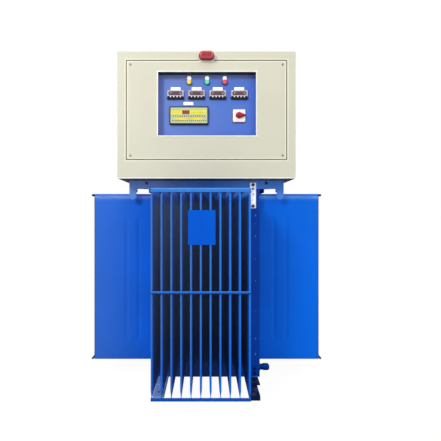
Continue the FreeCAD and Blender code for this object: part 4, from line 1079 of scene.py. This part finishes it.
def window_trim():
    """Rounded trim round the window of the front cover, painted paler than the cover and glowing a
    little: a painted highlight.
    """
    low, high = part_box("instrument_panel")
    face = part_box("cabinet_front_frame")[0].y
    inset = WINDOW_INSET - TRIM_BORDER
    trim = picture_frame("window_trim", (low.x + inset, face - TRIM_HEIGHT, low.z + inset),
                         (high.x - inset, face, high.z - inset), TRIM_BORDER + 0.2 * MM)
    dress(soften(trim, 1.6, 3), "cream_paint", finish="trim_highlight")


def cover_screws():
    """Pan heads with a cross recess."""
    heads = []
    for low, high in solids("cover_screws"):
        top, seat = ends(low, high)
        if top.y > 0:
            top, seat = seat, top
        head = drum("screw", seat, top, 5.6 * MM, 5.2 * MM, sides=24)
        round_edges(head, flat_end(top, OUT), 2.2 * MM, 4)
        for reach in (Vector((3.4, 1.6, 0.8)), Vector((0.8, 1.6, 3.4))):
            cut_away(head, block("recess", top - reach * MM, top + reach * MM))
        heads.append(soften(head, 0.15, 1, 50))
    stand_in("cover_screws", *heads, finish="screw_steel")


# ---- instruments
METER_WIDTH = 96 * MM
METER_HEIGHT = 48 * MM
METER_BEZEL = 12 * MM           # depth
METER_BODY = (45.5 * MM, 22 * MM)
KEY_SPAN = 28.5 * MM            # middle of the meter to the outer key
HUMP_SPAN = 38 * MM
# pale dots on each meter window: painted reflections
# x and z from the middle of the window and radius, in millimetres
METER_GLINTS = ((-30, 3, 2.6), (-22, 5, 1.7), (-26, -3, 1.5),
              (29, -1, 3.0), (34, 2, 1.8), (22, 5, 1.4))
LAMP_RING_RADIUS = 15.6 * MM
LENS_RADIUS = 13.4 * MM
LENS_ROUNDING = 7 * MM
LENS_GROOVES = (9.5 * MM, 6.5 * MM)
ROUND_TAG_RADIUS = 12 * MM
ROUND_TAG_RISE = 26 * MM        # above its lamp
PLATE_BORDER = 2.5 * MM         # of the frame below the controller's plate
# left, right, bottom and top of the bands, in millimetres from the middle of the plate
BANDS = ((-104, -41, 6.5, 30), (6, 99, 6.5, 30), (-74, -8, -23.5, -14), (6, 76, -23.5, -14))
# first, last, count, half width, bottom and top
LAMP_ROWS = ((-95, -51, 5, 1.6, 16, 20.5), (14, 90, 8, 1.8, 15, 21),
             (-68, -14, 7, 1.3, -20.5, -17), (14, 70, 7, 1.3, -20.5, -17))
MARK_ROWS = ((-88, 88, 15, 2.4, -8, 1.5), (-92, 96, 17, 3.2, -32, -26.5))
SHAFT_RADIUS = 4 * MM
HANDLE_GAP = 0.4 * MM           # between the plate and the grip
SKIRT_DEPTH = 16 * MM
LENS_WALL = 3.4 * MM


def oval_ring(low, high, face):
    """A thin rim round the oval window of a meter, pale and glowing a little: a painted highlight
    on the window's edge.
    """
    edge, inner = Vector((2.2, 0, 2.2)) * MM, Vector((0.2, 0, 0.2)) * MM
    outer = pill("rim", at(low - edge, y=face - 0.5 * MM), at(high + edge, y=face + 1.5 * MM))
    inside = pill("inside", at(low - inner, y=face - 2 * MM), at(high + inner, y=face + 3 * MM))
    return soften(cut_away(outer, inside), 0.25)


def meters():
    """Panel meters: a frame, an oval window with pale glowing dots on it that are painted
    reflections, a dark lower strip and four round keys.
    """
    frames, windows, strips, keys, rings, glints = [], [], [], [], [], []
    half_width, half_height = METER_WIDTH / 2, METER_HEIGHT / 2
    for (low, high), pane in zip(solids("meter_housings"), solids("meter_windows")):
        pane_low, pane_high = pane
        middle = (low + high) / 2
        face = low.y + 0.8 * MM
        seat = face + METER_BEZEL
        foot = middle.z - half_height
        bezel = slab("bezel", (middle.x - half_width, face, foot),
                     (middle.x + half_width, seat, middle.z + half_height), 3 * MM)
        room = Vector((0.5, 0, 0.5)) * MM
        cut_away(bezel, pill("recess", at(pane_low - room, y=face - MM), pane_high + room))
        soften(bezel, 1.2, 3)
        body = block("body", (middle.x - METER_BODY[0], seat, middle.z - METER_BODY[1]),
                     (middle.x + METER_BODY[0], high.y, middle.z + METER_BODY[1]))
        frames += [bezel, soften(body, 1.5)]
        windows.append(soften(pill("pane", pane_low, pane_high), 0.5, 3))
        edge = half_width + 0.3 * MM
        strip = slab("strip", (middle.x - edge, face - 0.4 * MM, foot - 3 * MM),
                     (middle.x + edge, seat, foot + 11 * MM), 2.5 * MM, 3)
        strips.append(soften(strip, 0.4))
        for x in spread(middle.x - KEY_SPAN, middle.x + KEY_SPAN, 4):
            centre = Vector((x, face, foot + 9.6 * MM))
            key = drum("key", centre, centre + OUT * 1.4 * MM, 3.7 * MM, 3.2 * MM, sides=24)
            keys.append(soften(key, 0.3))
        for x in spread(middle.x - HUMP_SPAN, middle.x + HUMP_SPAN, 5):
            centre = Vector((x, face, foot + 7.0 * MM))
            hump = drum("hump", centre, centre + OUT * 0.6 * MM, 7.5 * MM, sides=28)
            strips.append(soften(hump, 0.2, 1))
        rings.append(oval_ring(pane_low, pane_high, face))
        for x, z, size in METER_GLINTS:
            centre = at((pane_low + pane_high) / 2, x=middle.x, y=pane_low.y)
            centre += Vector((x, 0, z)) * MM
            pip = drum("pip", centre - OUT * 0.3 * MM, centre + OUT * 0.5 * MM, size * MM, sides=20)
            glints.append(soften(pip, 0.2))
    stand_in("meter_housings", *frames)
    dress(joined("meter_keys", keys), "tag_plastic", finish="key_white")
    dress(joined("meter_glints", glints), "meter_window", finish="glint_pale")
    dress(joined("meter_window_rims", rings), "meter_window", finish="rim_highlight")
    stand_in("meter_windows", *windows)
    dress(joined("meter_strips", strips), "housing_plastic")


def pilot_lamps():
    """Round bezels with domed lenses."""
    bezels = []
    for low, high in solids("lamp_bezels"):
        front, back = ends(low, high)
        seat = front - OUT * 7 * MM
        ring = drum("ring", seat, front, LAMP_RING_RADIUS)
        round_edges(ring, flat_end(front, OUT), 2.5 * MM, 4)
        bezels.append(soften(ring, 0.3, 1, 50))
        bezels.append(soften(drum("barrel", seat, back, 11 * MM, sides=32), 0.6))
    stand_in("lamp_bezels", *bezels)
    for node in ("lens_yellow", "lens_green", "lens_red"):
        low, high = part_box(node)
        front, back = ends(low, high)
        lens = drum("lens", back, front, LENS_RADIUS)
        round_edges(lens, flat_end(front, OUT), LENS_ROUNDING, 8)
        for ring in LENS_GROOVES:
            groove = drum("groove", front + OUT * MM, front - OUT * 0.5 * MM, ring)
            core = drum("core", front + OUT * 2 * MM, front - OUT * MM, ring - 0.6 * MM)
            cut_away(lens, cut_away(groove, core))
        mend(lens, bpy.ops.mesh.remove_doubles, threshold=0.01 * MM)
        stand_in(node, shade(lens, 40))


def panel_tags():
    """Bare plates over the instruments, with a line near the edge, and round ones for the lamps."""
    lamps = [(low + high) / 2 for low, high in solids("lamp_bezels")]
    tags = []
    for low, high in solids("panel_tags"):
        middle = (low + high) / 2
        if high.x - low.x > 40 * MM:
            tag = slab("tag", low, high, 2.4 * MM)
            edit(tag)
            pick(tag, "FACE", lambda place, way: way.y < -0.9)
            for border, rise in ((1.4, 0), (0.35, -0.2), (0.35, 0.2)):
                bpy.ops.mesh.inset(thickness=border * MM, depth=rise * MM)
            leave()
            tags.append(soften(tag, 0.15))
        else:
            lamp = min(lamps, key=lambda place: abs(place.x - middle.x))
            back = Vector((lamp.x, high.y, lamp.z + ROUND_TAG_RISE))
            disc = drum("disc", back, back + OUT * (high.y - low.y), ROUND_TAG_RADIUS)
            room = drum("room", at(lamp, y=high.y + MM), at(lamp, y=low.y - MM),
                        LAMP_RING_RADIUS + 0.3 * MM)
            tags.append(soften(cut_away(disc, room), 0.2, 2, 50))
    stand_in("panel_tags", *tags)


def controller():
    """The regulator's front: a frame round a plate with bands, a display, lamps and marks."""
    low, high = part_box("controller_housing")
    plate_low, plate_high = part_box("controller_face")
    middle = (plate_low + plate_high) / 2
    plate_low = plate_low + UP * PLATE_BORDER
    seat = low.y + 14 * MM
    frame = slab("frame", low, at(high, y=seat), 3 * MM)
    cut_away(frame, block("recess", at(plate_low, y=low.y - MM), plate_high))
    soften(frame, 1.0, 3)
    inset = Vector((7, 0, 5.5)) * MM
    body = soften(block("body", at(low + inset, y=seat), high - inset), 1.5)
    stand_in("controller_housing", frame, body)
    plate = slab("plate", plate_low, plate_high, 1.5 * MM, 3)
    stand_in("controller_face", soften(plate, 0.3))
    face = plate_low.y

    def flat(name, left, right, bottom, top, rise, corner=0.6):
        """A raised patch on the plate; millimetres from the plate's middle."""
        piece = slab(name, (middle.x + left * MM, face - rise * MM, middle.z + bottom * MM),
                     (middle.x + right * MM, face + 0.2 * MM, middle.z + top * MM), corner * MM, 2)
        return soften(piece, min(rise, corner) * 0.4, 1)

    def rows(name, table, corner):
        return [flat(name, x - half, x + half, bottom, top, 0.35, corner)
                for first, last, count, half, bottom, top in table
                for x in spread(first, last, count)]

    bands = [flat("band", *edges, 0.15) for edges in BANDS]
    dress(joined("controller_bands", bands), "controller_plate", finish="band_yellow")
    dress(flat("controller_display", -39, 4, 8, 30, 0.6, 1.2), "meter_window", finish="band_red")
    dress(joined("controller_lamps", rows("dot", LAMP_ROWS, 0.8)), "controller_plate",
          finish="mark_amber")
    dress(joined("controller_marks", rows("mark", MARK_ROWS, 1.0)), "controller_plate",
          finish="mark_dark")


def grip(centre, front, back, tip):
    """A kite-shaped grip with a ridge along its middle; the nose points to +X."""
    piece = block("grip", (centre.x - 20 * MM, front, centre.z - 19 * MM),
                  (tip, back, centre.z + 19 * MM))
    edit(piece)
    waist = Vector((0, front + 0.55 * (back - front), 0))
    slice_at([(centre, RIGHT), (centre, UP), (waist, OUT), (centre - RIGHT * 11 * MM, RIGHT)])
    for left, right, share in ((-21, -19, 0.3), (-12, -10, 0.78), (20, 90, 0.15)):
        pick(piece, "VERT", lambda place, way: left * MM < place.x - centre.x < right * MM)
        bpy.ops.transform.resize(value=(1, 1, share), center_override=(centre.x, back, centre.z))
    ridge = 0.5 * MM
    pick(piece, "VERT", lambda place, way: place.y < front + MM and abs(place.z - centre.z) > ridge)
    bpy.ops.transform.resize(value=(0.9, 1, 0.2), center_override=(centre.x, front, centre.z))
    pick(piece, "VERT", lambda place, way: place.y < front + MM and place.x > centre.x + 20 * MM)
    bpy.ops.transform.translate(value=(-3 * MM, 6 * MM, 0))
    pick(piece, "VERT", lambda place, way: place.y < front + MM and place.x < centre.x - 15 * MM)
    bpy.ops.transform.translate(value=(2 * MM, 5 * MM, 0))
    leave()
    return soften(piece, 0.9, 2, 20)


def selector():
    """A white switch plate on a dark pad, and a red handle with a pointed nose."""
    low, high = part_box("selector_plate")
    centre = ends(low, high)[0]
    plate = slab("plate", low, high, 6 * MM, 6)
    soften(plate, 1.8, 4)
    ring = drum("ring", centre - OUT * MM, centre + OUT * 0.25 * MM, 22 * MM)
    cut_away(ring, drum("inside", centre - OUT * 2 * MM, centre + OUT * MM, 21.2 * MM))
    hole = drum("hole", centre - OUT * 15 * MM, centre + OUT * 2 * MM,
                SHAFT_RADIUS + 0.05 * MM, sides=32)
    cut_away(plate, hole)
    stand_in("selector_plate", plate, soften(ring, 0.1, 1, 50))

    pad = slab("selector_pad", (low.x - 3.2 * MM, high.y - 2.4 * MM, low.z - 5 * MM),
               (high.x + MM, high.y - 0.1 * MM, high.z), 6.5 * MM, 6)
    dress(soften(pad, 0.4), "switch_handle", finish="dark_pad")

    low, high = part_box("selector_handle")
    back = centre + OUT * HANDLE_GAP
    handle = grip(centre, low.y, back.y, high.x)
    shaft = drum("shaft", back - OUT * MM, at(centre, y=high.y), SHAFT_RADIUS, sides=32)
    stand_in("selector_handle", handle, shaft)


def beacon():
    """A red lens with round ends over a darker skirt and core, on a pale base."""
    stand_in("beacon_base", soften(pill("base", *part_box("beacon_base")), 2.2, 4))
    low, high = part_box("beacon_lens")
    skirt = pill("beacon_skirt", at(low, y=high.y - SKIRT_DEPTH), high)
    dress(soften(skirt, 1.5, 3), "beacon_red", finish="skirt_red")
    wall = Vector((LENS_WALL, 0, LENS_WALL))
    lens = pill("lens", low + wall, at(high - wall, y=high.y - 2 * MM))
    round_edges(lens, flat_end(low, OUT), 12 * MM, 8)
    focus(lens)
    bpy.ops.object.shade_smooth_by_angle(angle=math.radians(50))
    stand_in("beacon_lens", lens)
    core = pill("beacon_core", (low.x + 15 * MM, low.y - 1.2 * MM, low.z + 11 * MM),
                (high.x - 15 * MM, low.y + 4 * MM, high.z - 17 * MM))
    dress(soften(core, 1.0, 3), "beacon_red", finish="core_red")


# ---- everything else, from its CAD shape
# width of the broken edges, in millimetres
EDGES = {
    "skid_rails": 1.6, "skid_cross_members": 1.2, "foot_pads": 1.2, "tank_shell": 1.2,
    "tank_rim": 1.2, "tank_cover": 1.2, "cover_gasket": 0.8, "cover_bolts": 0.8,
    "fin_plate": 0.8, "wing_beams": 1.2, "cabinet_wrap": 0.8, "cabinet_front_frame": 1.5,
    "cabinet_back_frame": 1.0, "front_cover": 1.4, "back_cover": 0.5, "side_vents": 0.5,
    "gland_plate": 0.8, "instrument_panel": 0.6, "oil_gauge_bolts": 0.6, "earth_bolts": 0.5,
}
OWN_FINISH = {"fin_plate": "plate_paint", "earth_bolts": "rod_end_paint"}


def carried_over():
    """Nodes whose own shape is right: softer edges where they are seen, and a finish for all."""
    for node, width in EDGES.items():
        refined(node, width, finish=OWN_FINISH.get(node))
    for node, piece in nodes.items():
        piece.data.materials.clear()
        piece.data.materials.append(finish_for(slot_of_node[node]))


def main():
    bpy.context.scene.view_settings.view_transform = "Standard"
    for build in (camera, studio, carried_over, fin_banks, tie_bars, oil_gauge, drain,
                  earth_bolts, hole_shade_tubes, tank_welds, filler_cap, cover_seals, window_trim,
                  cover_screws, meters, pilot_lamps, panel_tags, controller, selector, beacon):
        build()


main()
